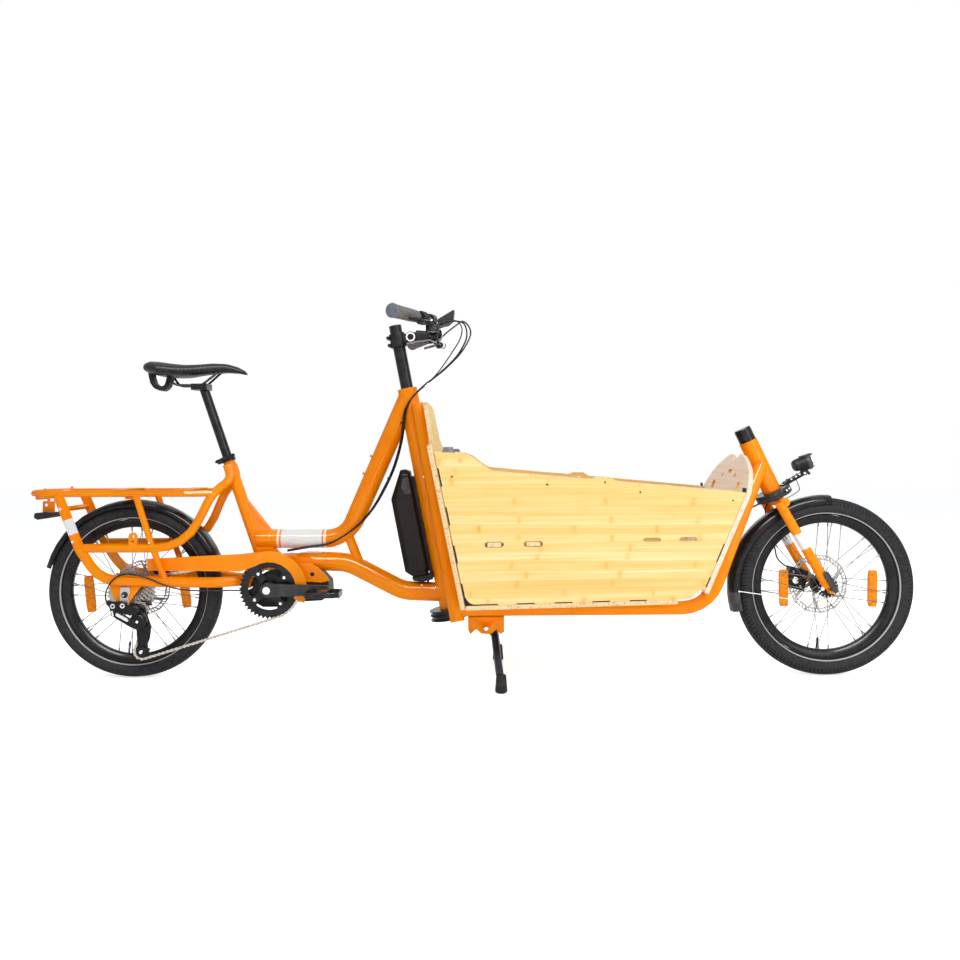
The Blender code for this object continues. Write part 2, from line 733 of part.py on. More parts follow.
def make_cargo_frame():
    pieces = []
    for side in SIDES:
        pieces.append(sweep(rail_path(side), circle(RAIL_RADIUS, 12)))
        foot = (column_x(UPRIGHT_FOOT_Z) + UPRIGHT_AHEAD, side * UPRIGHT_FOOT_Y, UPRIGHT_FOOT_Z)
        top = (column_x(UPRIGHT_TOP_Z) + UPRIGHT_AHEAD, side * UPRIGHT_TOP_Y, UPRIGHT_TOP_Z)
        pieces.append(rod(foot, top, UPRIGHT_RADIUS, 12))
        brace_z = 256
        inner = (column_x(brace_z) + 14, side * 10, brace_z)
        outer = (column_x(brace_z) + UPRIGHT_AHEAD, side * 140, brace_z)
        pieces.append(rod(inner, outer, 14, 10))
    for x in (150, 520):
        pieces.append(rod((x, -142, RAIL_Z + 5), (x, 142, RAIL_Z + 5), 12, 8))
    head = rod(head_at(FRONT_PULLEY_HALF + TOUCH), head_at(HEAD_TUBE_TOP), HEAD_TUBE_RADIUS, 16)
    frame = join(head, *pieces)
    column_room = rod(column_at(0), column_at(760), COLUMN_RADIUS + TOUCH, 16)
    head_bore = rod(head_at(-5), head_at(HEAD_TUBE_TOP + 5), HEAD_TUBE_BORE, 16)
    add("cargo_frame", "orange", [cut(frame, column_room, head_bore)])


FORK_FOOT = (FRONT_HUB_X - 15.1, HUB_Z + 8.0)
FORK_LEG_TOP = (872.0, 500.0)


def fork_leg_point(z):
    """Centre line of the fork's legs in side view."""
    foot_x, foot_z = FORK_FOOT
    top_x, top_z = FORK_LEG_TOP
    return top_x + (foot_x - top_x) / (foot_z - top_z) * (z - top_z)


def make_fork():
    crown = head_at(-24)
    leg_y = FORK_INNER_Y + 14.5
    pieces = [rod((crown.x, -leg_y - 6, crown.z), (crown.x, leg_y + 6, crown.z), 13.5, 12)]
    cap_foot = HEAD_TUBE_TOP + TOUCH
    top = cap_foot + STUB_HEIGHT
    profile = [(-24, 0.0), (-24, STEERER_RADIUS), (cap_foot, STEERER_RADIUS), (cap_foot, STUB_RADIUS)]
    profile += [(top - 4, STUB_RADIUS), (top, STUB_RADIUS - 3), (top, 0.0)]
    pieces.append(turned(profile, FRONT_PULLEY, HEAD_UP, 14))
    hub_way = (FRONT_HUB - crown).normalized()
    pieces.append(rod(crown, FRONT_HUB - hub_way * (FRONT_FENDER_RADIUS + TOUCH), 6, 8))
    for side in SIDES:
        leg_top = (fork_leg_point(crown.z), side * leg_y, crown.z)
        pieces.append(rod(leg_top, (FORK_FOOT[0], side * leg_y, FORK_FOOT[1]), 14, 12))
        plate_z = HUB_Z + 27
        plate = [(fork_leg_point(plate_z) - 8, plate_z), (fork_leg_point(plate_z) + 12, plate_z)]
        plate += arc((FRONT_HUB_X, HUB_Z), 15, 60, -120, 6)
        pieces.append(on_side(side_slab(plate, [], FORK_INNER_Y, FORK_INNER_Y + 8), side))
    hole = rod(FRONT_HUB - Vector((0, 90, 0)), FRONT_HUB + Vector((0, 90, 0)), AXLE_RADIUS + TOUCH, 12)
    add("fork", "orange", [cut(join(*pieces), hole)], FRONT_PULLEY)


def pulley(centre, up, radius, half, bore):
    """A wheel with a groove for the steering cable."""
    lip = 4.0
    groove = radius - GROOVE_DEPTH
    ring = [(-half, bore), (-half, radius), (lip - half, radius), (lip + 2 - half, groove)]
    ring += [(half - lip - 2, groove), (half - lip, radius), (half, radius), (half, bore)]
    return turned(ring, centre, up, 20)


def make_mast():
    top = (MAST_TOP_Z - PULLEY_Z) / COLUMN_UP.z
    tube = rod(column_at(-REAR_PULLEY_HALF - 3), column_at(top), MAST_RADIUS, 14)
    wheel = pulley(COLUMN_FOOT, COLUMN_UP, REAR_PULLEY_RADIUS, REAR_PULLEY_HALF, MAST_RADIUS - 4)
    add("mast", "black metal", [join(tube, wheel)], COLUMN_FOOT)


def make_front_pulley():
    wheel = pulley(FRONT_PULLEY, HEAD_UP, FRONT_PULLEY_RADIUS, FRONT_PULLEY_HALF, STEERER_RADIUS + TOUCH)
    pivot = HEADLIGHT_PIVOT
    foot = FRONT_PULLEY + HEAD_UP * (FRONT_PULLEY_HALF + 1.5) + HEAD_AHEAD * 41
    plate = block(foot, (20, 26, 5), HEAD_AHEAD, HEAD_UP)
    arms = []
    for y in (-9, 9):
        line = capsule((foot.x + 2, foot.z + 2), (pivot.x, pivot.z), 5, 4)
        arms.append(side_slab(line, [], y - 3, y + 3))
    bridge = block((foot.x + 12, 0, foot.z + 11), (9, 16, 9))
    add("front_pulley", "black metal", [join(wheel, plate, bridge, *arms)], FRONT_PULLEY)

def make_steering_cable():
    """One cable from its anchor behind the rear pulley, round the front pulley and back."""
    reach = CABLE_RADIUS + 0.8 - GROOVE_DEPTH
    rear = REAR_PULLEY_RADIUS + reach
    front = FRONT_PULLEY_RADIUS + reach
    across = Vector((0, 1, 0))
    half = []
    for a, b in arc((0, 0), rear, 179, 90, 7):
        half.append(COLUMN_FOOT + COLUMN_AHEAD * a + across * b)
    run = [(-12, 57, 196.5), (60, 55, 206), (590, 54, 206), (640, 52, 230), (700, 47, 318), (764, 36, 474)]
    half += bend(run, 40, 2)
    for a, b in arc((0, 0), front, 96, 0, 8):
        half.append(FRONT_PULLEY + HEAD_AHEAD * a + across * b)
    path = half[:-1] + [Vector((p.x, -p.y, p.z)) for p in reversed(half)]
    add("steering_cable", "black plastic", [sweep(path, circle(CABLE_RADIUS, 5))])

# Cargo box


def side_point(x, z, side):
    return Vector((x, side * box_half_width(x, z), z))


def panel_slab(outline, holes, side):
    """A plate whose outer face lies on the splayed side plane; points are (X, Z)."""
    origin = side_point(0.0, 0.0, FAR)
    along = side_point(1.0, 0.0, FAR) - origin
    up = side_point(0.0, 1.0, FAR) - origin
    return on_side(slab(outline, holes, origin, along, up, 0.0, PLY), side)


def notched_edge(start, end, inward, count):
    """Points from start to end with shallow notches for the dark joint strips."""
    start = Vector(start)
    end = Vector(end)
    inward = Vector(inward)
    along = (end - start).normalized()
    pitch = (end - start).length / count
    points = []
    for i in range(count):
        first = start + along * (pitch * (i + 0.5) - NOTCH_LENGTH / 2)
        last = first + along * NOTCH_LENGTH
        points += [first, first + inward * NOTCH_DEPTH, last + inward * NOTCH_DEPTH, last]
    return [(p.x, p.y) for p in points]


def panel_rear_x(z):
    return back_x(z) + PLY / COLUMN_UP.z + JOINT_GAP - BOX_TAPER * PLY


REAR_NOTCHES = 3
FLOOR_NOTCHES = 4
REAR_NOTCH_SPAN = (637.0, 338.0)
FLOOR_NOTCH_SPAN = (84.0, 491.0)
CORNER_NOTCH_END = (62.0, 310.0)
PANEL_FOOT_Z = FLOOR_TOP_Z - FLOOR_REBATE + TOUCH


def rear_notch_line():
    return [(panel_rear_x(z), z) for z in REAR_NOTCH_SPAN]


def floor_notch_line():
    return [(x, PANEL_FOOT_Z) for x in FLOOR_NOTCH_SPAN]


def side_outline():
    top = [(panel_rear_x(651), 651), (-29, 649), (-2, 638), (30, 613), (48, 602), (221, 586)]
    ear = [(308, 579), (322, 585), (354, 584), (372, 573)]
    tail = [(600, 552), (front_x(541) - JOINT_GAP, 541), (front_x(276) - JOINT_GAP, 276), (612, 277), (603, 266.5), (591, 257), (578, 252)]
    floor_edge = notched_edge(*reversed(floor_notch_line()), (0, 1), FLOOR_NOTCHES)
    rear_edge = notched_edge(*reversed(rear_notch_line()), (1, 0), REAR_NOTCHES)
    corner = [(FLOOR_FRONT_X, PANEL_FOOT_Z)]
    end_x, end_z = CORNER_NOTCH_END
    raised_z = PANEL_FOOT_Z + NOTCH_DEPTH
    foot = [(end_x, PANEL_FOOT_Z), (end_x, raised_z), (-1, raised_z), (-10, 256.5), (-16, 262), (panel_rear_x(274) + NOTCH_DEPTH, 274)]
    foot += [(panel_rear_x(end_z) + NOTCH_DEPTH, end_z), (panel_rear_x(end_z), end_z)]
    return top + ear + tail + corner + floor_edge + foot + rear_edge


def make_side_panels():
    holes = []
    for x in (471, 571):
        holes.append(rounded_slot((x, BENCH_Z + 5), OPEN_SLOT))
    for x, z in ((-55, 589), (188, 567), (435, 545), (690, 520)):
        holes.append([(x + a, z + b) for a, b in circle(3.0, 6)])
    holes.append([(340 + a, 572 + b) for a, b in circle(3.5, 8)])
    for side in SIDES:
        panel = panel_slab(side_outline(), holes, side)
        tools = []
        for x in (52, 154):
            tool = side_slab(rounded_slot((x, BENCH_Z), TAB_SLOT), [], 200, 340)
            tools.append(on_side(tool, side))
        add("side_panel_" + SIDE_NAMES[side], "bamboo", [cut(panel, *tools)])


def make_floor():
    low_z = FLOOR_TOP_Z - PLY
    half_rear = box_half_width(BOX_REAR_X, FLOOR_TOP_Z)
    half_front = box_half_width(FLOOR_FRONT_X, FLOOR_TOP_Z)
    rear_x = back_x(FLOOR_TOP_Z - PLY) + PLY / COLUMN_UP.z + TOUCH
    nose = FLOOR_NOSE_HALF_WIDTH
    right = [(rear_x, half_rear), (FLOOR_FRONT_X, half_front), (FLOOR_FRONT_X, nose), (FLOOR_NOSE_X, nose)]
    outline = [(x, -y) for x, y in right] + list(reversed(right))
    foot_z = FLOOR_TOP_Z - FLOOR_REBATE
    plate = slab(outline, [], (0, 0, 0), (1, 0, 0), (0, 1, 0), low_z, foot_z)
    field = [(x, min(y, inner_half_width(x, foot_z))) for x, y in right]
    field = [(x, -y) for x, y in field] + list(reversed(field))
    raised = slab(field, [], (0, 0, 0), (1, 0, 0), (0, 1, 0), low_z + 1, FLOOR_TOP_Z)
    add("floor_panel", "bamboo", [join(plate, raised)])


def make_back_panel():
    top_z = 788.0
    shoulder_z = 656.0
    foot_z = FLOOR_TOP_Z - PLY
    foot_half = box_half_width(back_x(foot_z), foot_z)
    shoulder_half = box_half_width(back_x(shoulder_z), shoulder_z)
    right = [
        (foot_half, foot_z), (shoulder_half, shoulder_z), (shoulder_half - 8, shoulder_z + 10),
        (250, 674), (212, 690), (190, 722), (176, 762), (164, 780), (146, top_z),
    ]
    outline = right + [(-y, z) for y, z in reversed(right)]
    origin = (back_x(0.0), 0, 0)
    plate = slab(outline, [], origin, (0, 1, 0), (-COLUMN_SLOPE, 0, 1), 0.0, PLY)
    add("back_panel", "bamboo", [plate])


def make_front_panel():
    foot_z = 268.0
    foot_half = box_half_width(front_x(foot_z), foot_z)
    edge_half = box_half_width(front_x(541), 541)
    right = [
        (foot_half, foot_z), (edge_half, 541), (205, 566), (178, 594), (145, 613), (100, 631),
        (62, 643), (42, 645), (26, 638), (18, 627),
    ]
    outline = right + [(-y, z) for y, z in reversed(right)]
    holes = []
    for y, z in ((-122, 554), (122, 554)):
        holes.append([(y - 14, z - 11), (y + 14, z - 11), (y + 14, z + 11), (y - 14, z + 11)])
    holes.append([(-16, 590), (16, 590), (16, 600), (-16, 600)])
    for y in (-60, 60):
        holes.append([(y + a, 583 + b) for a, b in circle(6.5, 8)])
    origin = (front_x(0.0), 0, 0)
    plate = slab(outline, holes, origin, (0, 1, 0), (FRONT_SLOPE, 0, 1), 0.0, PLY)
    add("front_panel", "bamboo", [plate])


def inner_half_width(x, z):
    """Half width inside the side panels, with a small gap."""
    return box_half_width(x, z) - PLY * math.hypot(1.0, BOX_TAPER, BOX_SPLAY) - TOUCH


def make_bench():
    low = BENCH_Z - PLY / 2
    rear_x = back_x(low) + PLY / COLUMN_UP.z + TOUCH
    front = BENCH_FRONT_X
    tab_half = (TAB_SLOT[0] - TAB_SLOT[1]) / 2
    right = [(rear_x, inner_half_width(rear_x, low))]
    for x in (52, 154):
        for edge, out in ((-tab_half, False), (-tab_half, True), (tab_half, True), (tab_half, False)):
            at = x + edge
            reach = box_half_width(at, low) if out else inner_half_width(at, low)
            right.append((at, reach))
    right.append((front, inner_half_width(front, low)))
    outline = [(x, -y) for x, y in right] + list(reversed(right))
    plate = slab(outline, [], (0, 0, 0), (1, 0, 0), (0, 1, 0), low, low + PLY)
    add("bench", "bamboo", [plate])


# Drive


def make_motor():
    half = MOTOR_HALF_WIDTH
    outline = [
        (-655, 255), (-640, 262), (-634, 284), (-606, 306), (-560, 317.4), (-506, 305), (-470, 312),
        (-440, 300), (-420, 278), (-418, 240), (-440, 226), (-520, 222), (-560, 208), (-610, 208), (-640, 226),
    ]
    body = join(side_slab(outline, [], -half, half), disc(CRANK, 40, half + MOTOR_BOSS, sides=16))
    lower_room = sweep(lower_tube_path(30.0), circle(LOWER_TUBE_RADIUS + TOUCH, 12))
    bore = rod(CRANK - Vector((0, 70, 0)), CRANK + Vector((0, 70, 0)), SPINDLE_RADIUS + RUN, 16)
    add("motor", "black plastic", [cut(body, bore, lower_room)])


def make_motor_cover():
    outline = [(-524, 318), (-505, 332), (-478, 337), (-448, 322), (-424, 296), (-416, 284), (-440, 278), (-505, 282)]
    low = MOTOR_HALF_WIDTH + TOUCH
    plate = on_side(side_slab(outline, [], low, low + 5), NEAR)
    add("motor_cover", "orange", [plate])


def toothed(teeth, tip, root):
    points = []
    step = math.tau / teeth
    for i in range(teeth):
        for share, radius in ((0.0, root), (0.5, tip)):
            angle = step * (i + share)
            points.append((radius * math.cos(angle), radius * math.sin(angle)))
    return points


def make_crankset():
    pitch = pitch_radius(RING_TEETH)
    holes = [circle(SPINDLE_RADIUS + TOUCH, 14)]
    for i in range(4):
        start = 55 + 90 * i
        end = start + 70
        holes.append(arc((0, 0), 72, start, end, 4) + arc((0, 0), 44, end, start, 3))
    half = 1.0
    plane = (CRANK, (1, 0, 0), (0, 0, 1))
    ring = slab(toothed(RING_TEETH, pitch + 3, pitch - 5), holes, *plane, -CHAIN_Y - half, -CHAIN_Y + half)
    add("chainring", "black metal", [ring], CRANK)
    boss_inner = {NEAR: -CHAIN_Y + half + TOUCH, FAR: MOTOR_HALF_WIDTH + MOTOR_BOSS + RUN}
    for side in SIDES:
        ahead = -side
        tip = CRANK + Vector((ahead * CRANK_LENGTH, 0, 0))
        arm = [(CRANK_X, 20), (CRANK_X + ahead * 40, 17), (tip.x, 13)]
        outline = [(x, CRANK_Z + h) for x, h in arm] + [(tip.x + ahead * 14, CRANK_Z)]
        outline += [(x, CRANK_Z - h) for x, h in reversed(arm)] + [(CRANK_X - ahead * 20, CRANK_Z)]
        solid = on_side(side_slab(outline, [], CRANK_INNER_Y, CRANK_REACH), side)
        low = boss_inner[side]
        high = CRANK_INNER_Y + 3
        boss = disc((CRANK_X, side * (low + high) / 2, CRANK_Z), 21, (high - low) / 2, sides=16)
        axle_half = (PEDAL_AXLE_END - CRANK_REACH + 2) / 2
        axle = disc((tip.x, side * (PEDAL_AXLE_END - axle_half), CRANK_Z), PEDAL_AXLE_RADIUS, axle_half, sides=12)
        spindle_end = CRANK + Vector((0, FAR * (CRANK_REACH - 2), 0))
        spindle_start = CRANK + Vector((0, NEAR * (CRANK_REACH - 1), 0))
        if side == FAR:
            whole = join(solid, boss, axle, rod(spindle_start, spindle_end, SPINDLE_RADIUS, 16))
        else:
            bore = rod((CRANK_X, -40, CRANK_Z), (CRANK_X, -120, CRANK_Z), SPINDLE_RADIUS + TOUCH, 16)
            whole = cut(join(solid, boss, axle), bore)
        add("crank_arm_" + SIDE_NAMES[side], "black metal", [whole], CRANK)
        make_pedal(side, tip)

def make_pedal(side, centre):
    long, wide, tall = PEDAL_SIZE
    inner = CRANK_REACH + PEDAL_GAP
    outer = inner + wide
    rail = 12.0
    outline = [
        (-long / 2 + 10, inner), (long / 2 - 10, inner), (long / 2, inner + 14), (long / 2, outer - 14),
        (long / 2 - 10, outer), (-long / 2 + 10, outer), (-long / 2, outer - 14), (-long / 2, inner + 14),
    ]
    rear = [(-long / 2 + rail, inner + rail), (-14, inner + rail), (-14, outer - rail), (-long / 2 + rail, outer - rail)]
    front = [(-x, y) for x, y in reversed(rear)]
    flat = Vector((centre.x, 0, centre.z))
    body = slab(outline, [rear, front], flat, (1, 0, 0), (0, 1, 0), -tall / 2, tall / 2)
    bore_start = flat + Vector((0, inner - 5, 0))
    bore_end = flat + Vector((0, PEDAL_AXLE_END + RUN, 0))
    body = cut(body, rod(bore_start, bore_end, PEDAL_AXLE_RADIUS + RUN, 12))
    add("pedal_" + SIDE_NAMES[side], "black plastic", [on_side(body, side)], centre)

def belt(wheels):
    """The closed line round (centre, radius, turning sense) wheels, in (X, Z)."""
    count = len(wheels)
    headings = []
    for i in range(count):
        (x0, z0), r0, s0 = wheels[i]
        (x1, z1), r1, s1 = wheels[(i + 1) % count]
        distance = math.hypot(x1 - x0, z1 - z0)
        base = math.atan2(z1 - z0, x1 - x0)
        headings.append(base + math.asin((s0 * r0 - s1 * r1) / distance))
    points = []
    for i in range(count):
        (x, z), radius, sense = wheels[i]
        start = headings[i - 1]
        end = headings[i]
        turn = (end - start) * sense % math.tau
        steps = max(3, round(turn / 0.3))
        for k in range(steps + 1):
            heading = start + sense * turn * k / steps
            points.append((x + sense * radius * math.sin(heading), z - sense * radius * math.cos(heading)))
    return points


def chain_line():
    """The chain's pitch line, from the top of the chainring over the cog and down to the jockeys."""
    return belt([
        ((CRANK_X, CRANK_Z), pitch_radius(RING_TEETH), 1),
        ((REAR_HUB_X, REAR_HUB_Z), pitch_radius(COG_TEETH[CHAIN_COG]), 1),
        (UPPER_JOCKEY, pitch_radius(JOCKEY_TEETH), -1),
        (LOWER_JOCKEY, pitch_radius(JOCKEY_TEETH), 1),
    ])


def make_chain():
    """Two rows of side plates round the wheels, closed into one bar along each free run."""
    corners = [Vector(p) for p in chain_line()]
    line = []
    closed = []
    for i, start in enumerate(corners):
        run = corners[(i + 1) % len(corners)] - start
        line.append(start)
        closed.append(False)
        if run.length > 3 * CHAIN_CLEAR_OF_TEETH:
            along = run.normalized() * CHAIN_CLEAR_OF_TEETH
            line += [start + along, start + run - along]
            closed += [True, False]
    count = len(line)
    low = CHAIN_INNER_HALF
    high = CHAIN_INNER_HALF + CHAIN_PLATE
    section = [(-high, -1), (-low, -1), (-low, 1), (-high, 1), (low, -1), (high, -1), (high, 1), (low, 1)]
    points = []
    for i, point in enumerate(line):
        before = (point - line[i - 1]).normalized()
        after = (line[(i + 1) % count] - point).normalized()
        along = (before + after).normalized()
        normal = Vector((-along.y, along.x))
        for y, height in section:
            flat = point + normal * CHAIN_HALF_HEIGHT * height
            points.append(Vector((flat.x, CHAIN_Y + y, flat.y)))
    outside = [(3, 0), (0, 1), (2, 3), (4, 5), (5, 6), (6, 7)]
    faces = []
    for i in range(count):
        j = (i + 1) % count
        strips = outside + ([(1, 4), (7, 2)] if closed[i] else [(1, 2), (7, 4)])
        faces += [(8 * i + a, 8 * i + b, 8 * j + b, 8 * j + a) for a, b in strips]
        if closed[i] != closed[i - 1]:
            faces.append(tuple(8 * i + k for k in (1, 4, 7, 2)))
    add("chain", "silver", [(points, faces)])


def make_cassette():
    bore = HUB_BODY_RADIUS - 4.0 + 3 * TOUCH
    half = COG_THICKNESS / 2
    chain_root = pitch_radius(COG_TEETH[CHAIN_COG]) - CHAIN_HALF_HEIGHT - 1.5
    profile = []
    for i, teeth in enumerate(COG_TEETH):
        y = CHAIN_Y - COG_SPACING * (CHAIN_COG - i)
        tip = pitch_radius(teeth) + 1.0
        beside_chain = i in (CHAIN_COG, CHAIN_COG + 1)
        if i > 0 and not beside_chain:
            profile.append((y - COG_SPACING / 2, pitch_radius(COG_TEETH[i - 1]) - 6.5))
        if beside_chain:
            profile += [(y - COG_SPACING + half, chain_root), (y - half, chain_root)]
        profile += [(y - half, tip), (y + half, tip)]
    profile = [(profile[0][0], bore)] + profile + [(profile[-1][0], bore)]
    add("cassette", "silver", [turned(profile, REAR_HUB, sides=14)], REAR_HUB)


def make_jockeys():
    for name, (x, z) in (("upper_jockey", UPPER_JOCKEY), ("lower_jockey", LOWER_JOCKEY)):
        pitch = pitch_radius(JOCKEY_TEETH)
        half = JOCKEY_THICKNESS / 2
        outline = toothed(JOCKEY_TEETH, pitch + 2.5, pitch - 3.5)
        centre = (x, 0, z)
        wheel = slab(outline, [circle(4.2, 10)], centre, (1, 0, 0), (0, 0, 1), -CHAIN_Y - half, -CHAIN_Y + half)
        add(name, "black plastic", [wheel], (x, CHAIN_Y, z))


def capsule(a, b, radius, steps=5):
    """Outline round two points, in (X, Z)."""
    angle = math.degrees(math.atan2(b[1] - a[1], b[0] - a[0]))
    return arc(b, radius, angle - 90, angle + 90, steps) + arc(a, radius, angle + 90, angle + 270, steps)


def make_derailleur():
    cage_in = 4.0
    plate = 1.6
    outline = capsule(UPPER_JOCKEY, LOWER_JOCKEY, 11)
    pieces = []
    for low in (-CHAIN_Y - cage_in - plate, -CHAIN_Y + cage_in):
        pieces.append(on_side(side_slab(outline, [], low, low + plate), NEAR))
    for x, z in (UPPER_JOCKEY, LOWER_JOCKEY):
        half = cage_in + plate + 1.5
        pieces.append(disc((x, CHAIN_Y, z), 3.6, half, sides=10))
    knuckle = (UPPER_JOCKEY[0] - 3, UPPER_JOCKEY[1] + 2)
    inner = DROPOUT_INNER_Y + DROPOUT_THICKNESS + TOUCH
    link = on_side(side_slab(capsule(DERAILLEUR_BOLT, knuckle, 12), [], inner, inner + 16), NEAR)
    start = -CHAIN_Y + cage_in + plate / 2
    post = on_side(rod((knuckle[0], start, knuckle[1]), (knuckle[0], inner + 12, knuckle[1]), 10, 12), NEAR)
    add("derailleur", "black metal", [join(link, post, *pieces)])


def make_chain_guard():
    bar = [(-932, 317), (-932, 351), (-665, 364), (-632, 368)]
    outer = arc((CRANK_X, CRANK_Z), 108, 105, -22, 10)
    inner = arc((CRANK_X, CRANK_Z), 76, -22, 122, 10)
    tail = [(-665, 314)]
    plate = side_slab(bar + outer + inner + tail, [], GUARD_Y - GUARD_THICKNESS, GUARD_Y)
    face = GUARD_Y - GUARD_THICKNESS
    peg_end = STRUT_RADIUS + TOUCH - STAY_Y
    peg = rod((-888, face + 1, 330), (-888, peg_end, 330), 4, 8)
    foot = rod((-624, GUARD_Y - 1, 359), (-624, -SEAT_TUBE_RADIUS - TOUCH, 359), 4, 8)
    add("chain_guard", "orange", [join(plate, peg, foot)])


# Axles, calipers and fenders


def make_axles():
    half = DROPOUT_INNER_Y + DROPOUT_THICKNESS + TOUCH
    nut = half + 8
    profile = [(-nut, 0.0), (-nut, 9), (-half, 9), (-half, AXLE_RADIUS)]
    profile += [(-y, r) for y, r in reversed(profile)]
    add("rear_axle", "black metal", [turned(profile, REAR_HUB, sides=12)])
    half = FORK_INNER_Y + 33
    axle = disc(FRONT_HUB, AXLE_RADIUS, half, sides=12)
    tip = (FRONT_HUB_X - 26, HUB_Z + 46)
    lever = side_slab(capsule((FRONT_HUB_X, HUB_Z), tip, 8), [], half - 4, half + 3)
    add("front_axle", "black metal", [join(axle, on_side(lever, NEAR))], FRONT_HUB)

def caliper(hub, rotor_y, along_deg, distance, size, side_low, side_high):
    """A block over the rotor's edge, with a slot for it."""
    angle = math.radians(along_deg)
    out = Vector((math.cos(angle), 0.0, math.sin(angle)))
    round_way = Vector((-out.z, 0.0, out.x))
    centre = hub + out * distance + Vector((0, (side_low + side_high) / 2, 0))
    body = block(centre, (size[0], side_high - side_low, size[1]), out, round_way)
    slot_centre = hub + out * (distance - 12) + Vector((0, rotor_y, 0))
    slot = block(slot_centre, (size[0] + 10, ROTOR_THICKNESS + 2 * RUN, size[1] + 20), out, round_way)
    return cut(body, slot)


def make_calipers():
    front = caliper(FRONT_HUB, FRONT_ROTOR_Y, 166, 68, (56, 62), 30, 62)
    leg_y = FORK_INNER_Y + 14.5
    leg_ends = [(fork_leg_point(z), leg_y, z) for z in (400, 240)]
    front = cut(front, rod(*leg_ends, 14 + TOUCH, 12))
    add("front_caliper", "black metal", [front], FRONT_HUB)
    rear = caliper(REAR_HUB, REAR_ROTOR_Y, 40, 76, (38, 54), 38, STAY_Y - STAY_HALF_THICKNESS - TOUCH)
    add("rear_caliper", "black metal", [rear])


def fender(hub, radius, start_deg, end_deg, steps, depth, flare=0.0):
    """An arched shell about a wheel; flare moves its rear end out past the crown's angle."""
    thickness = 1.8
    half = 32.0
    shape = ((1.0, -depth), (0.95, -0.45 * depth), (0.64, -3.2), (0.0, 0.0))
    upper = [(half * a, b) for a, b in shape] + [(-half * a, b) for a, b in reversed(shape[:-1])]
    lower = [(0.94 * a, b - thickness) for a, b in reversed(upper)]
    section = upper + lower
    points = []
    for k in range(steps + 1):
        degrees = start_deg + (end_deg - start_deg) * k / steps
        angle = math.radians(degrees)
        out = Vector((math.cos(angle), 0.0, math.sin(angle)))
        away = radius + flare * min(1.0, max(0.0, (degrees - 121.0) / 47.0))
        points += [hub + out * (away + b) + Vector((0, a, 0)) for a, b in section]
    count = len(section)
    last = steps * count
    faces = [tuple(range(count)), tuple(last + i for i in range(count))]
    for k in range(steps):
        for i in range(count):
            j = (i + 1) % count
            low = k * count
            faces.append((low + i, low + j, low + count + j, low + count + i))
    return points, faces


def make_fenders():
    add("rear_fender", "black plastic", [fender(REAR_HUB, REAR_FENDER_RADIUS, 21, 164, 18, 20)])
    shell = fender(FRONT_HUB, FRONT_FENDER_RADIUS, 87, 195, 18, 26, FENDER_FLARE)
    add("front_fender", "black plastic", [shell], FRONT_HUB)


# Seat


def loft(sections):
    """A closed body through sections of (x, top, bottom, half width)."""
    points = []
    sides = 12
    for x, top, bottom, half in sections:
        middle = bottom + 0.35 * (top - bottom)
        for i in range(sides):
            angle = math.tau * i / sides
            y = half * math.cos(angle)
            rise = math.sin(angle)
            z = middle + (top - middle) * rise if rise > 0 else middle + (middle - bottom) * rise
            points.append(Vector((x, y, z)))
    last = (len(sections) - 1) * sides
    faces = [tuple(range(sides)), tuple(last + i for i in range(sides))]
    for k in range(len(sections) - 1):
        for i in range(sides):
            j = (i + 1) % sides
            low = k * sides
            faces.append((low + i, low + j, low + sides + j, low + sides + i))
    return points, faces


SADDLE_SECTIONS = (
    (-955, 906, 893, 34), (-948, 914, 886, 52), (-932, 919, 880, 68), (-905, 917, 874, 80),
    (-870, 912, 872, 76), (-837, 909, 872, 60), (-800, 911, 877, 41), (-760, 915, 882, 28),
    (-720, 913, 885, 23), (-688, 903, 883, 20), (-670, 892, 880, 15), (-664, 885, 879, 8),
)


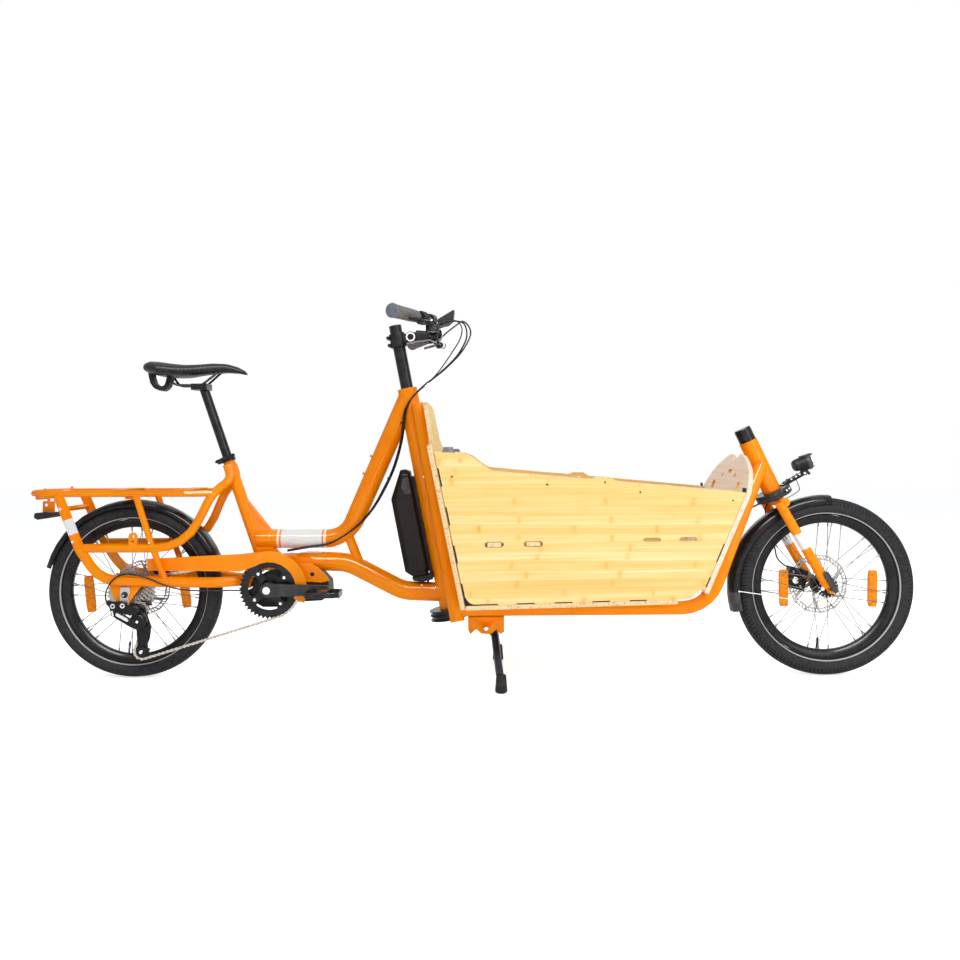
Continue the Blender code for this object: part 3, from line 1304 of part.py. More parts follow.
def make_seat():
    pivot = seat_at(0)
    top = seat_post_top()
    head = seat_at(top)
    rail_z = head.z + 10.5
    rail = [(-898, 30, 890), (-868, 22, rail_z), (-790, 22, rail_z), (-745, 14, 886), (-722, 3, 892)]
    rail_path = bend(rail, 25, 3)
    rail_path += [(x, -y, z) for x, y, z in reversed(rail_path)]
    clamp = block((head.x - 8, 0, head.z + 6), (46, 52, 18))
    post = rod(seat_at(top), seat_at(top - POST_LENGTH), POST_RADIUS, 14)
    room = loft([(x, high, low - TOUCH, half + TOUCH) for x, high, low, half in SADDLE_SECTIONS])
    seatpost = join(post, clamp, sweep(rail_path, circle(3.5, 8)))
    add("seatpost", "black metal", [cut(seatpost, room)], pivot)
    outer = [(-950, 890), (-944, 856), (-928, 838), (-905, 832), (-888, 846), (-878, 886)]
    inner = [(-893, 866), (-899, 850), (-914, 847), (-926, 856), (-931, 872), (-912, 872)]
    handle = side_slab(outer, [inner], -17, 17)
    add("saddle", "saddle", [join(loft(SADDLE_SECTIONS), handle)], pivot, 60)
    collar_half = 8.0
    centre = seat_at(collar_half - 14)
    ring = pipe(centre, SEAT_TUBE_RADIUS + 4, SEAT_TUBE_RADIUS - 2, collar_half, SEAT_UP, 18)
    ears = block(centre - SEAT_AHEAD * (SEAT_TUBE_RADIUS + 7), (14, 18, 14), SEAT_AHEAD, SEAT_UP)
    tube_room = rod(seat_at(-40), seat_at(20), SEAT_TUBE_RADIUS + TOUCH, 14)
    add("seat_collar", "black metal", [cut(join(ring, ears), tube_room)])
    pin = centre - SEAT_AHEAD * (SEAT_TUBE_RADIUS + 10)
    tip = pin + SEAT_AHEAD * 52 + SEAT_UP * 4
    lever = on_side(side_slab(capsule((pin.x, pin.z), (tip.x, tip.z), 4.5, 4), [], 21.5, 27.5), NEAR)
    stub = rod((pin.x, -23, pin.z), (pin.x, -9 - TOUCH, pin.z), 3.5, 8)
    add("seat_lever", "black metal", [join(lever, stub)], pin)

# Rear light


def make_tail_light():
    outline = [(-1270, 479.6), (-1224, 479.6), (-1224, 466), (-1262, 460), (-1272, 466)]
    add("tail_light", "black plastic", [side_slab(outline, [], -34, 34)])

# Handlebar


def make_stem():
    centre_height = (979 - PULLEY_Z) / COLUMN_UP.z
    centre = column_at(centre_height)
    ring = pipe(centre, MAST_RADIUS + 5, MAST_RADIUS - 3, 20, COLUMN_UP, 14)
    x, z = STEM_PIVOT
    barrel = disc((x, 0, z), 16, 20, sides=12)
    neck = block((x - 14, 0, z - 3), (18, 30, 26))
    arm = side_slab(capsule((x, z), (BAR_X, BAR_Z), 13), [], -15, 15)
    clamp = disc((BAR_X, 0, BAR_Z), BAR_CLAMP_RADIUS + 5, 22, sides=12)
    bolts = []
    for lift in (-11, 11):
        at = centre + COLUMN_UP * lift - COLUMN_AHEAD * (MAST_RADIUS + 8)
        bolts.append(disc(at, 5.5, 14, sides=6))
    stem = join(ring, barrel, neck, arm, clamp, *bolts)
    mast_room = rod(column_at(centre_height - 40), column_at(centre_height + 40), MAST_RADIUS + TOUCH, 14)
    bar_room = rod((BAR_X, -40, BAR_Z), (BAR_X, 40, BAR_Z), BAR_CLAMP_RADIUS + TOUCH, 12)
    add("stem", "black metal", [cut(stem, mast_room, bar_room)], COLUMN_FOOT)


BAR_POINTS = ((BAR_X, 0, BAR_Z), (BAR_X, 55, BAR_Z), (-126, 140, 1012), (-148, 215, 1013), (-206, 334, 1011))
GRIP_SHARE = (0.06, 1.03)


def bar_point(share):
    """A point of the near grip stretch, 0 at its inner end."""
    inner = Vector((BAR_POINTS[3][0], -BAR_POINTS[3][1], BAR_POINTS[3][2]))
    outer = Vector((BAR_POINTS[4][0], -BAR_POINTS[4][1], BAR_POINTS[4][2]))
    return inner.lerp(outer, share)


def bar_path():
    near = [(x, -y, z) for x, y, z in BAR_POINTS]
    return bend(list(reversed(near)) + list(BAR_POINTS[1:]), 60, 3)


def make_handlebar():
    along, drop, normal, pivot = lever_frame()
    perch = bar_point(PERCH_SHARE)
    clamp = disc(perch, 17, 9, along, 8)
    section = [(-8, -8), (8, -8), (8, 8), (-8, 8)]
    holder = sweep([perch + drop * 0.3 - along * 22, pivot - along * 4], section)
    body = cut(holder, disc(pivot, KNUCKLE_RADIUS + TOUCH, 14, normal))
    pod_centre = bar_point(-0.52)
    pod = [disc(pod_centre, 16, 10, along, 8), block(pod_centre + Vector((4, 0, -22)), (34, 30, 18))]
    sleeve = rod((BAR_X, -36, BAR_Z), (BAR_X, 36, BAR_Z), BAR_CLAMP_RADIUS, 12)
    bar = sweep(bar_path(), circle(BAR_RADIUS, 8), (0, 0, 1))
    perches = [clamp, body, mirrored(clamp), mirrored(body)]
    add("handlebar", "black metal", [join(bar, sleeve, *perches, *pod)], COLUMN_FOOT)
    start = bar_point(GRIP_SHARE[0])
    end = bar_point(GRIP_SHARE[1])
    length = (end - start).length
    bottom = (bar_point(1.0) - start).length + TOUCH
    inner = BAR_RADIUS + 3 * TOUCH
    profile = [(bottom, 0.0), (bottom, inner), (0, inner), (0, 15), (0.3 * length, GRIP_RADIUS)]
    profile += [(0.62 * length, 16), (0.9 * length, 19.5), (length - 2, 18.5), (length, 14), (length, 0.0)]
    grip = turned(profile, start, along, 12)
    add("grip_near", "grey plastic", [grip], COLUMN_FOOT)
    add("grip_far", "grey plastic", [mirrored(grip)], COLUMN_FOOT)


PERCH_SHARE = -0.16
KNUCKLE_RADIUS = 7.0


def lever_frame():
    """Directions along the grip, down to the lever and along the pivot, with the pivot's place."""
    along = (bar_point(1.0) - bar_point(0.0)).normalized()
    drop = Vector((30.0, -6.0, -16.0))
    pivot = bar_point(PERCH_SHARE) + drop + along * 14
    return along, drop, along.cross(drop).normalized(), pivot


def make_levers():
    along, drop, normal, pivot = lever_frame()
    blade_path = [pivot, pivot + along * 40 + drop * 0.05, pivot + along * 108 - drop * 0.02]
    blade = sweep(blade_path, oval(6, 3.5, 8), normal, [1.15, 1.0, 0.9])
    lever = join(disc(pivot, KNUCKLE_RADIUS, 6, normal), blade)
    add("brake_lever_near", "black metal", [lever], pivot)
    add("brake_lever_far", "black metal", [mirrored(lever)], Vector((pivot.x, -pivot.y, pivot.z)))
    thumb = bar_point(-0.52) + Vector((-14, -4, -31 - TOUCH))
    paddle = slab(capsule((0, 0), (-20, -16), 6, 4), [], thumb, (1, 0, 0), (0, 1, 0), -4, 0)
    add("shift_lever", "black plastic", [paddle], thumb)


def make_display():
    low = Vector((-104, -62, 1026))
    high = Vector((-54, -62, 1056))
    along = (high - low).normalized()
    middle = (low + high) / 2
    normal = along.cross(Vector((0, 1, 0))).normalized()
    case = block(middle, (58, 60, 10), along, normal)
    clamp = turned([(-7, 5.0), (-7, 18), (7, 18), (7, 5.0)], (-116, -64, 997), (0, 1, 0), 12)
    post = rod((-112, -64, 1008), (middle.x - 6, -64, middle.z - 3), 7, 8)
    bar_room = sweep(bar_path(), circle(BAR_RADIUS + TOUCH, 8), (0, 0, 1))
    add("display", "black plastic", [cut(join(case, clamp, post), bar_room)], COLUMN_FOOT)


# Cables, each a list of chosen points


CONTROL_CABLE_POINTS = (
    (-94, -148, 994), (-60, -128, 1017), (-34, -95, 1012), (-22, -70, 985), (-34, -52, 950), (-62, -42, 914),
    (-104, -37, 876), (-146, -36, 842), (-176, -35, 812), (-193, -34, 788), (-202, -33.5, 760), (-210, -35, 690),
    (-232, -36, 610), (-262, -35, 545), (-294, -34, 490), (-330, -34, 448), (-372, -34, 414), (-420, -34, 388),
    (-480, -33, 378), (-540, -33, 368),
)
GEAR_CABLE_POINTS = (
    (-656.8, -36, 254), (-672, -46, 256), (-700, -52, 258), (-740, -62, 258), (-790, -80, 262), (-830, -94, 268),
    (-870, -99, 280), (-910, -99, 297), (-948, -99, 309), (-980, -99, 312), (-1008, -99, 302), (-1028, -98, 280),
    (-1038, -96, 254), (-1036, -93, 232), (-1025, -88, 219.5),
)


def make_cable(name, route, radius, origin=(0, 0, 0)):
    curve = bpy.data.curves.new(name, "CURVE")
    curve.dimensions = "3D"
    curve.bevel_depth = radius * MM
    curve.bevel_resolution = 1
    curve.resolution_u = 4
    curve.render_resolution_u = 0
    curve.use_fill_caps = True
    spline = curve.splines.new("POLY")
    smooth = smooth_route(route)
    spline.points.add(len(smooth) - 1)
    for point, place in zip(spline.points, smooth):
        point.co = (*((Vector(place) - Vector(origin)) * MM), 1.0)
    curve.materials.append(material(name, "black plastic"))
    item = bpy.data.objects.new(name, curve)
    item.location = Vector(origin) * MM
    bpy.context.scene.collection.objects.link(item)


def smooth_route(route, steps=2):
    """Points of a smooth curve through the route."""
    points = [Vector(p) for p in route]
    ends = [points[0] * 2 - points[1]] + points + [points[-1] * 2 - points[-2]]
    smooth = []
    for a, b, c, d in zip(ends, ends[1:], ends[2:], ends[3:]):
        for k in range(steps):
            t = k / steps
            bent = 2 * b + (c - a) * t + (2 * a - 5 * b + 4 * c - d) * t**2 + (3 * b - a - 3 * c + d) * t**3
            smooth.append(bent / 2)
    smooth.append(points[-1])
    return smooth


def make_cables():
    make_cable("control_cables", CONTROL_CABLE_POINTS, 3.2)
    make_cable("gear_cable", GEAR_CABLE_POINTS, 2.2)


# Headlight, battery and kickstand


def make_headlight():
    outline = [(929, 617), (937, 626), (984, 642), (994, 632), (996, 616), (983, 603), (962, 596), (942, 596), (930, 603)]
    body = side_slab(outline, [], -26, 26)
    ear_half = 6 - TOUCH
    ear = side_slab([(952, 600), (972, 600), (970, 584), (954, 584)], [], -ear_half, ear_half)
    add("headlight", "black plastic", [join(body, ear)], HEADLIGHT_PIVOT)


def battery_frame():
    """Foot point on the battery's front face, with the directions along and behind the column."""
    height = (BATTERY_FOOT_Z - PULLEY_Z) / COLUMN_UP.z
    return column_at(height) - COLUMN_AHEAD * (COLUMN_RADIUS + BATTERY_RAIL + 2 * TOUCH)


def make_battery():
    foot = battery_frame()
    height = 312.0
    depth = 68.0
    profile = [(0, 8), (0, height - 8), (-14, height), (-26, height), (-depth, height - 78), (-depth, 20), (-depth + 22, 0), (-8, 0)]
    body = slab(profile, [], foot, COLUMN_AHEAD, COLUMN_UP, -BATTERY_HALF_WIDTH, BATTERY_HALF_WIDTH)
    half = BATTERY_HALF_WIDTH - 0.5
    radius = BATTERY_FOOT_RADIUS
    reach = math.degrees(math.asin(half / radius))
    front = arc((0, radius), radius, -90 - reach, -90 + reach, 8)
    front += [(half, height - 16), (half - 14, height + 2), (-half + 14, height + 2), (-half, height - 16)]
    mask = slab(front, [], foot, (0, 1, 0), COLUMN_UP, -depth - 10, 10)
    shape = common(body, mask)
    pivot = foot + COLUMN_UP * radius
    add("battery", "black plastic", [shape], pivot)
    rail_height = 300.0
    rail_middle = foot + COLUMN_AHEAD * (TOUCH + BATTERY_RAIL / 2) + COLUMN_UP * (rail_height / 2 - 12)
    rail = block(rail_middle, (BATTERY_RAIL, 34, rail_height), COLUMN_AHEAD, COLUMN_UP)
    rail_face = TOUCH + BATTERY_RAIL - 1
    cup = [(rail_face, -16), (rail_face, 6), (TOUCH, 6), (TOUCH, -1), (-20, -1), (-52, -1), (-48, -10), (-22, -18)]
    dock = slab(cup, [], foot, COLUMN_AHEAD, COLUMN_UP, -30, 30)
    add("battery_dock", "black plastic", [join(rail, dock)])


def make_kickstand():
    top_z = RAIL_Z - RAIL_RADIUS - TOUCH
    outline = [
        (-18, top_z), (-18, 158), (-12, 146), (4, 160), (18, 148), (46, 146), (60, 160), (72, 146), (82, 152),
        (82, top_z),
    ]
    outer = STAND_PLATE_Y + STAND_PLATE
    pivot = Vector((STAND_X, 0, STAND_Z))
    bolt_end = outer + 5
    bolt = [(-bolt_end, 0.0), (-bolt_end, 10), (1 - outer, 10), (1 - outer, STAND_BOLT_RADIUS)]
    bolt += [(-y, r) for y, r in reversed(bolt)]
    pieces = [turned(bolt, pivot, sides=12)]
    for side in SIDES:
        plate = side_slab(outline, [], STAND_PLATE_Y, outer)
        pieces.append(on_side(plate, side))
        pieces.append(block((32, side * (STAND_PLATE_Y + 16), top_z - 2.5), (98, 30, 4)))
    add("stand_bracket", "orange", [join(*pieces)])
    parts = [pipe(pivot, 13, STAND_BOLT_RADIUS - 2, STAND_PLATE_Y - TOUCH, sides=12)]
    for side in SIDES:
        knee = (56, side * 106, 140)
        foot = (FOOT_X - 2, side * (FOOT_Y - 6), FOOT_HEIGHT - 14)
        path = [(STAND_X + 4, side * 92, STAND_Z - 2), knee, foot]
        parts.append(sweep(path, circle(STAND_LEG_RADIUS, 8), (1, 0, 0)))
        half = FOOT_HEIGHT / 2
        shoe = [(-half, 0.0), (-half, 14), (4 - half, FOOT_RADIUS), (8, 15), (half, 13.5), (half, 0.0)]
        parts.append(turned(shoe, (FOOT_X, side * FOOT_Y, half), (0, 0, 1), 10))
    bolt_room = rod((STAND_X, -140, STAND_Z), (STAND_X, 140, STAND_Z), STAND_BOLT_RADIUS + TOUCH, 14)
    add("stand_legs", "black metal", [cut(join(*parts), bolt_room)], pivot)


def main():
    clear_scene()
    make_main_frame()
    make_rear_frame()
    make_cargo_frame()
    make_fork()
    make_mast()
    make_front_pulley()
    make_steering_cable()
    make_side_panels()
    make_floor()
    make_back_panel()
    make_front_panel()
    make_bench()
    make_motor()
    make_motor_cover()
    make_crankset()
    make_chain()
    make_cassette()
    make_jockeys()
    make_derailleur()
    make_chain_guard()
    make_axles()
    make_calipers()
    make_fenders()
    make_seat()
    make_tail_light()
    make_stem()
    make_handlebar()
    make_levers()
    make_display()
    make_cables()
    make_headlight()
    make_battery()
    make_kickstand()
    make_wheel("rear", REAR_HUB, 60.0, REAR_ROTOR_Y)
    make_wheel("front", FRONT_HUB, FORK_INNER_Y - RUN, FRONT_ROTOR_Y)


main()
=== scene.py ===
"""Looks of the long cargo bike with a bamboo box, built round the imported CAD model.

Shapes are written in millimetres. The camera, the lights, the floor and the patterns of the materials are in metres.
"""

import math

import bmesh
import bpy
from mathutils import Matrix, Vector


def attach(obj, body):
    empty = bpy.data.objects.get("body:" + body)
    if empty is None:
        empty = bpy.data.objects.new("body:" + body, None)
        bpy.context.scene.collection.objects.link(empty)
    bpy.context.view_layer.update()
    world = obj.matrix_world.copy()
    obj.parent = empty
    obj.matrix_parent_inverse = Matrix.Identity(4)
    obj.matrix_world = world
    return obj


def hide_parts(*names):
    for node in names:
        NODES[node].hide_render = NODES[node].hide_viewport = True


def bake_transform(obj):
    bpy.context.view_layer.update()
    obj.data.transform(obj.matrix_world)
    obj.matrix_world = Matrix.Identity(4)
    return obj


MM = 0.001
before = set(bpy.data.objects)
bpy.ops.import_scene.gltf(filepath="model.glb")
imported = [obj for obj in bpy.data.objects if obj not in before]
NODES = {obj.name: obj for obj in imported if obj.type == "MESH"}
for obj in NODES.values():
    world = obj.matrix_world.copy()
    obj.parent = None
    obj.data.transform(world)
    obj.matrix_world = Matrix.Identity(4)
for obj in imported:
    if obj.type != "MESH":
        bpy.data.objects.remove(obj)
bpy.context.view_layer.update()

REAR_HUB = Vector((-989.3, 0, 251))
FRONT_HUB = Vector((1021.1, 0, 258))
CRANK = Vector((-585, 0, 264))
COLUMN_LEAN = 0.1908
FRONT_LEAN = 0.378
COLUMN_UP = Vector((-COLUMN_LEAN, 0, 1)).normalized()
COLUMN_AHEAD = Vector((COLUMN_UP.z, 0, -COLUMN_UP.x))
HEAD_UP = Vector((-0.4812, 0, 1)).normalized()
HEAD_AHEAD = Vector((HEAD_UP.z, 0, -HEAD_UP.x))
FRONT_PULLEY = Vector((874, 0, 528))
CHAIN_Y = -59.7
SIDES = (-1, 1)


# Camera, light and floor


CAMERA_PLACE = (0.0108, -2.5, 0.6435)
CAMERA_ROLL = -0.0029
WORLD_LIGHT = 0.34
FLOOR_REACH = 14.0
FLOOR_DROP = 0.0005
FLOOR_GLOW = 0.62


def add_object(name, data):
    thing = bpy.data.objects.new(name, data)
    bpy.context.scene.collection.objects.link(thing)
    return thing


def make_camera():
    data = bpy.data.cameras.new("camera")
    data.sensor_width = 36
    data.lens = 32.05
    data.shift_x = 0.0021
    data.shift_y = -0.026
    data.clip_end = 50
    camera = add_object("camera", data)
    camera.location = CAMERA_PLACE
    level = Matrix.Rotation(math.radians(90), 3, "X")
    camera.rotation_euler = (level @ Matrix.Rotation(CAMERA_ROLL, 3, "Z")).to_euler()
    bpy.context.scene.camera = camera


def area_light(name, place, target, size, power):
    data = bpy.data.lights.new(name, "AREA")
    data.shape = "RECTANGLE"
    data.size, data.size_y = size
    data.energy = power
    light = add_object(name, data)
    light.location = place
    light.rotation_euler = (Vector(target) - Vector(place)).to_track_quat("-Z", "Y").to_euler()
    return light


def seen_rays(tree):
    """1 for rays from the camera, mirrors and glass, 0 for the rays that light the object."""
    path = tree.nodes.new("ShaderNodeLightPath")
    share = path.outputs["Is Camera Ray"]
    for name in ("Is Glossy Ray", "Is Transmission Ray"):
        most = tree.nodes.new("ShaderNodeMath")
        most.operation = "MAXIMUM"
        tree.links.new(share, most.inputs[0])
        tree.links.new(path.outputs[name], most.inputs[1])
        share = most.outputs[0]
    return share


def make_studio():
    scene = bpy.context.scene
    scene.view_settings.view_transform = "Standard"
    world = bpy.data.worlds.new("studio")
    world.use_nodes = True
    scene.world = world
    nodes = world.node_tree.nodes
    links = world.node_tree.links
    soft = nodes["Background"]
    soft.inputs["Color"].default_value = (0.94, 0.96, 1.0, 1)
    soft.inputs["Strength"].default_value = WORLD_LIGHT
    white = nodes.new("ShaderNodeBackground")
    white.inputs["Color"].default_value = (1, 1, 1, 1)
    white.inputs["Strength"].default_value = 1.0
    mix = nodes.new("ShaderNodeMixShader")
    links.new(seen_rays(world.node_tree), mix.inputs["Fac"])
    links.new(soft.outputs[0], mix.inputs[1])
    links.new(white.outputs[0], mix.inputs[2])
    links.new(mix.outputs[0], nodes["World Output"].inputs["Surface"])
    area_light("key light", (0.3, -3.2, 2.9), (0.2, 0, 0.4), (3.4, 1.5), 38)
    area_light("front light", (2.6, -2.4, 1.5), (0.7, 0, 0.4), (1.4, 1.6), 36)
    area_light("strip light", (0.1, -2.2, 2.5), (0, 0, 0.4), (3.6, 0.05), 11)
    area_light("low light", (0.2, -2.6, 0.25), (0, 0, 0.35), (3.4, 0.4), 9)
    area_light("top light", (0, 0.4, 3.2), (0, 0, 0.3), (4.0, 1.4), 28)
    area_light("back light", (0.3, 3.0, 2.0), (0, 0, 0.5), (3.5, 1.5), 24)
    gloss = area_light("gloss box", (0.1, -2.3, 2.7), (0, 0, 0.4), (3.6, 0.7), 320)
    gloss.visible_diffuse = False


def make_floor():
    pale = bpy.data.materials.new("pale floor")
    pale.use_nodes = True
    shader = pale.node_tree.nodes["Principled BSDF"]
    shader.inputs["Base Color"].default_value = (0.93, 0.93, 0.93, 1)
    shader.inputs["Roughness"].default_value = 0.9
    shader.inputs["Emission Color"].default_value = (1, 1, 1, 1)
    glow = pale.node_tree.nodes.new("ShaderNodeMath")
    glow.operation = "MULTIPLY"
    glow.inputs[1].default_value = FLOOR_GLOW
    pale.node_tree.links.new(seen_rays(pale.node_tree), glow.inputs[0])
    pale.node_tree.links.new(glow.outputs[0], shader.inputs["Emission Strength"])
    corners = [(x * FLOOR_REACH, y * FLOOR_REACH, 0) for x, y in ((-1, -1), (1, -1), (1, 1), (-1, 1))]
    mesh = bpy.data.meshes.new("floor")
    mesh.from_pydata(corners, [], [(0, 1, 2, 3)])
    mesh.materials.append(pale)
    floor = add_object("floor", mesh)
    floor.location = (0, 0, -FLOOR_DROP)


# Materials


class Value:
    """The output of a node, for the formulas that the materials are written with."""

    def __init__(self, look, socket):
        self.look = look
        self.socket = socket


for method, operation in (
    ("__add__", "ADD"), ("__radd__", "ADD"), ("__sub__", "SUBTRACT"), ("__mul__", "MULTIPLY"),
    ("__truediv__", "DIVIDE"), ("__gt__", "GREATER_THAN"), ("__lt__", "LESS_THAN"),
):
    setattr(Value, method, lambda self, other, operation=operation: self.look.math(operation, self, other))
Value.__rsub__ = lambda self, other: self.look.math("SUBTRACT", other, self)


METAL_FROM = 0.5
COAT_SHARE = 0.4


class Recipe:
    """A node material with short calls for the nodes used here."""

    def __init__(self, name, rough, metallic=0.0, coat=0.0, coat_rough=0.08, specular=0.12):
        self.material = bpy.data.materials.new(name)
        self.material.use_nodes = True
        self.tree = self.material.node_tree
        self.shader = self.tree.nodes["Principled BSDF"]
        self.put(self.shader, {
            "Roughness": rough, "Metallic": metallic, "Coat Weight": coat * COAT_SHARE, "Coat Roughness": coat_rough,
            "Specular IOR Level": 0.5 if metallic > METAL_FROM else specular,
        })
        self.place = self.node("TexCoord", {}, "Object")

    def put(self, node, inputs):
        """Links or writes the inputs; a tuple is a colour."""
        for key, value in inputs.items():
            if isinstance(value, Value):
                self.tree.links.new(value.socket, node.inputs[key])
            else:
                node.inputs[key].default_value = (*value, 1) if isinstance(value, tuple) else value

    def node(self, kind, inputs, output=0, **settings):
        node = self.tree.nodes.new("ShaderNode" + kind)
        for key, value in settings.items():
            setattr(node, key, value)
        self.put(node, inputs)
        return Value(self, node.outputs[output])

    def math(self, operation, *values):
        return self.node("Math", dict(enumerate(values)), operation=operation)

    def clamped(self, value):
        return self.math("MINIMUM", self.math("MAXIMUM", value, 0.0), 1.0)

    def between(self, value, low, high):
        return (value > low) * (value < high)

    def axes(self):
        first = self.node("SeparateXYZ", {0: self.place})
        return [Value(self, output) for output in first.socket.node.outputs]

    def vector(self, *values):
        return self.node("CombineXYZ", dict(enumerate(values)))

    def noise(self, scale, detail=3.0, place=None):
        return self.node("TexNoise", {"Vector": place or self.place, "Scale": scale, "Detail": detail}, "Fac")

    def ramp(self, value, *stops):
        color = self.node("ValToRGB", {0: value}, "Color")
        elements = color.socket.node.color_ramp.elements
        while len(elements) < len(stops):
            elements.new(0.5)
        for element, (at, tone) in zip(elements, stops):
            element.position = at
            element.color = (*tone, 1)
        return color

    def mix(self, share, a, b):
        return self.node("Mix", {"Factor": share, "A": a, "B": b}, "Result", data_type="RGBA")

    def color(self, value):
        self.put(self.shader, {"Base Color": value})

    def uneven(self, scale, low, high):
        """Roughness that varies over the surface."""
        rough = self.node("MapRange", {"Value": self.noise(scale), "To Min": low, "To Max": high})
        self.put(self.shader, {"Roughness": rough})

    def bump(self, height, distance, strength=1.0):
        normal = self.node("Bump", {"Strength": strength, "Distance": distance, "Height": height})
        self.put(self.shader, {"Normal": normal})


def mottled(name, dark, light, rough, metallic=0.0, coat=0.0, scale=60.0, bump=0.0, bump_scale=900.0):
    """A surface of two near colours, uneven in gloss, with a fine bump."""
    look = Recipe(name, rough, metallic, coat)
    look.color(look.ramp(look.noise(scale), (0.35, dark), (0.65, light)))
    look.uneven(scale * 2, rough * 0.8, min(1.0, rough * 1.25))
    if bump:
        look.bump(look.noise(bump_scale, 2.0), bump)
    return look.material


ORANGE_DARK = (1.0, 0.245, 0.0)
ORANGE_LIGHT = (1.0, 0.310, 0.0)
WHITE = (0.86, 0.86, 0.84)


def orange_paint(name, bands=(), point=(0, 0, 0), direction=(0, 0, 1), region=None):
    """Glossy paint with white bands, in millimetres along a direction from a point, inside a region of X and Z."""
    look = Recipe(name, 0.5, 0.0, 0.65, 0.07, 0.0)
    color = look.ramp(look.noise(9.0, 2.0), (0.3, ORANGE_DARK), (0.7, ORANGE_LIGHT))
    if bands:
        direction = Vector(direction).normalized()
        left, right, bottom, top = (edge * MM for edge in region)
        x, _, z = look.axes()
        along = (x - point[0] * MM) * direction.x + (z - point[2] * MM) * direction.z
        share = sum(look.between(along, low * MM, high * MM) for low, high in bands)
        inside = look.between(x, left, right) * look.between(z, bottom, top)
        color = look.mix(share * inside, color, WHITE)
    look.color(color)
    look.bump(look.noise(260.0, 2.0), 0.00004, 0.3)
    return look.material


BLACK = (0, 0, 0)
WARM = ((0.84, 0.56, 0.18), (0.91, 0.68, 0.27), (0.95, 0.80, 0.42))
# Darker bamboo tones for the inner faces of the side panels: painted shade
SHADED = ((0.78, 0.46, 0.14), (0.84, 0.53, 0.18), (0.90, 0.62, 0.25))
PINKISH = ((0.97, 0.84, 0.72), (0.98, 0.87, 0.77), (0.99, 0.90, 0.82))
STREAK = (0.86, 0.50, 0.11)
NODE_MARK = (0.80, 0.42, 0.07)
SEAM = (0.72, 0.40, 0.10)
PORE = (0.50, 0.20, 0.06)
STRIP_WIDTH = 0.0245
STRIP_SLANT = 0.6
NODE_SPACING = 0.26
MARK_HALF = 0.026
HALO_HALF = 0.11
UNMARKED = 0.22
FINE_GRAIN = (3.0, 420.0)
BROAD_GRAIN = (1.6, 62.0)
PLY_LAYER = 0.0042


def bamboo(name, along, across, tones=WARM, marks=1.0):
    """Laminated strips with fine grain and soft node marks; along and across are axis numbers."""
    look = Recipe(name, 0.5, specular=0.05)
    axes = look.axes()
    u, w = axes[along], axes[across]
    v = w / STRIP_WIDTH + u * STRIP_SLANT
    strip = look.math("FLOOR", v)
    tone = look.node("TexWhiteNoise", {"W": strip}, "Value", noise_dimensions="1D")
    steps = u / NODE_SPACING + tone * 5.7 + look.noise(1.7, 1.0) * 0.8
    cell = look.math("ABSOLUTE", look.math("FRACT", steps) - 0.5)
    core = look.clamped(1.0 - (cell - look.noise(95.0) * 0.016) / MARK_HALF)
    halo = look.math("MAXIMUM", 1.0 - cell / HALO_HALF, 0.0)
    place = look.vector(look.math("FLOOR", steps), strip, 0.0)
    force = look.node("TexWhiteNoise", {"Vector": place}, "Value", noise_dimensions="2D") * 0.55 + 0.45
    smear = look.clamped(look.noise(70.0, 4.0) * 2.4 + -0.45)
    kept = look.math("FRACT", tone * 17.3) > UNMARKED
    middle = look.math("ABSOLUTE", look.math("FRACT", v) - 0.5)
    reach = look.noise(40.0, 2.0) * 0.30 + 0.27
    inside = look.clamped((reach - middle) * 14.0)
    core = core * kept * (inside * smear) * force
    fine = look.noise(1.0, 4.0, look.vector(u * FINE_GRAIN[0], w * FINE_GRAIN[1], 0.0))
    broad = look.noise(1.0, 3.0, look.vector(u * BROAD_GRAIN[0], w * BROAD_GRAIN[1], 1.0))
    base = look.ramp(broad, (0.3, tones[0]), (0.5, tones[1]), (0.68, tones[2]))
    strips = look.ramp(tone, (0.0, tones[0]), (0.5, tones[1]), (1.0, tones[2]))
    color = look.mix(0.42, base, strips)
    color = look.mix(look.ramp(fine, (0.46, BLACK), (0.72, (0.62, 0.62, 0.62))), color, STREAK)
    color = look.mix(halo * force * (0.22 * marks), color, STREAK)
    color = look.mix(core * (0.85 * marks), color, NODE_MARK)
    look.color(look.mix((middle > 0.485) * 0.14, color, SEAM))
    look.bump(fine, 0.0002, 0.35)
    return look.material


def ply_edge(name, across, pale=0.0):
    """Edge of the panel, where the layers show as lines with dark pores."""
    look = Recipe(name, 0.6)
    whiter = pale * 0.7
    light, dark = (tuple(c + (1 - c) * whiter for c in tone) for tone in ((0.90, 0.70, 0.42), (0.80, 0.52, 0.26)))
    layer = (look.math("SINE", look.axes()[across] * (math.tau / PLY_LAYER)) + 1.0) * 0.3
    pores = look.ramp(look.noise(230.0, 2.0), (0.55, BLACK), (0.66, (0.75, 0.75, 0.75)))
    look.color(look.mix(pores * (1.0 - whiter), look.mix(layer, light, dark), PORE))
    return look.material


STRIPE_WIDTH = 0.0028
BLOCKS_ROUND = 132.0
BLOCK_SLANT = 520.0
GROOVES_ACROSS = 900.0
SIDE_RIBS = 3200.0


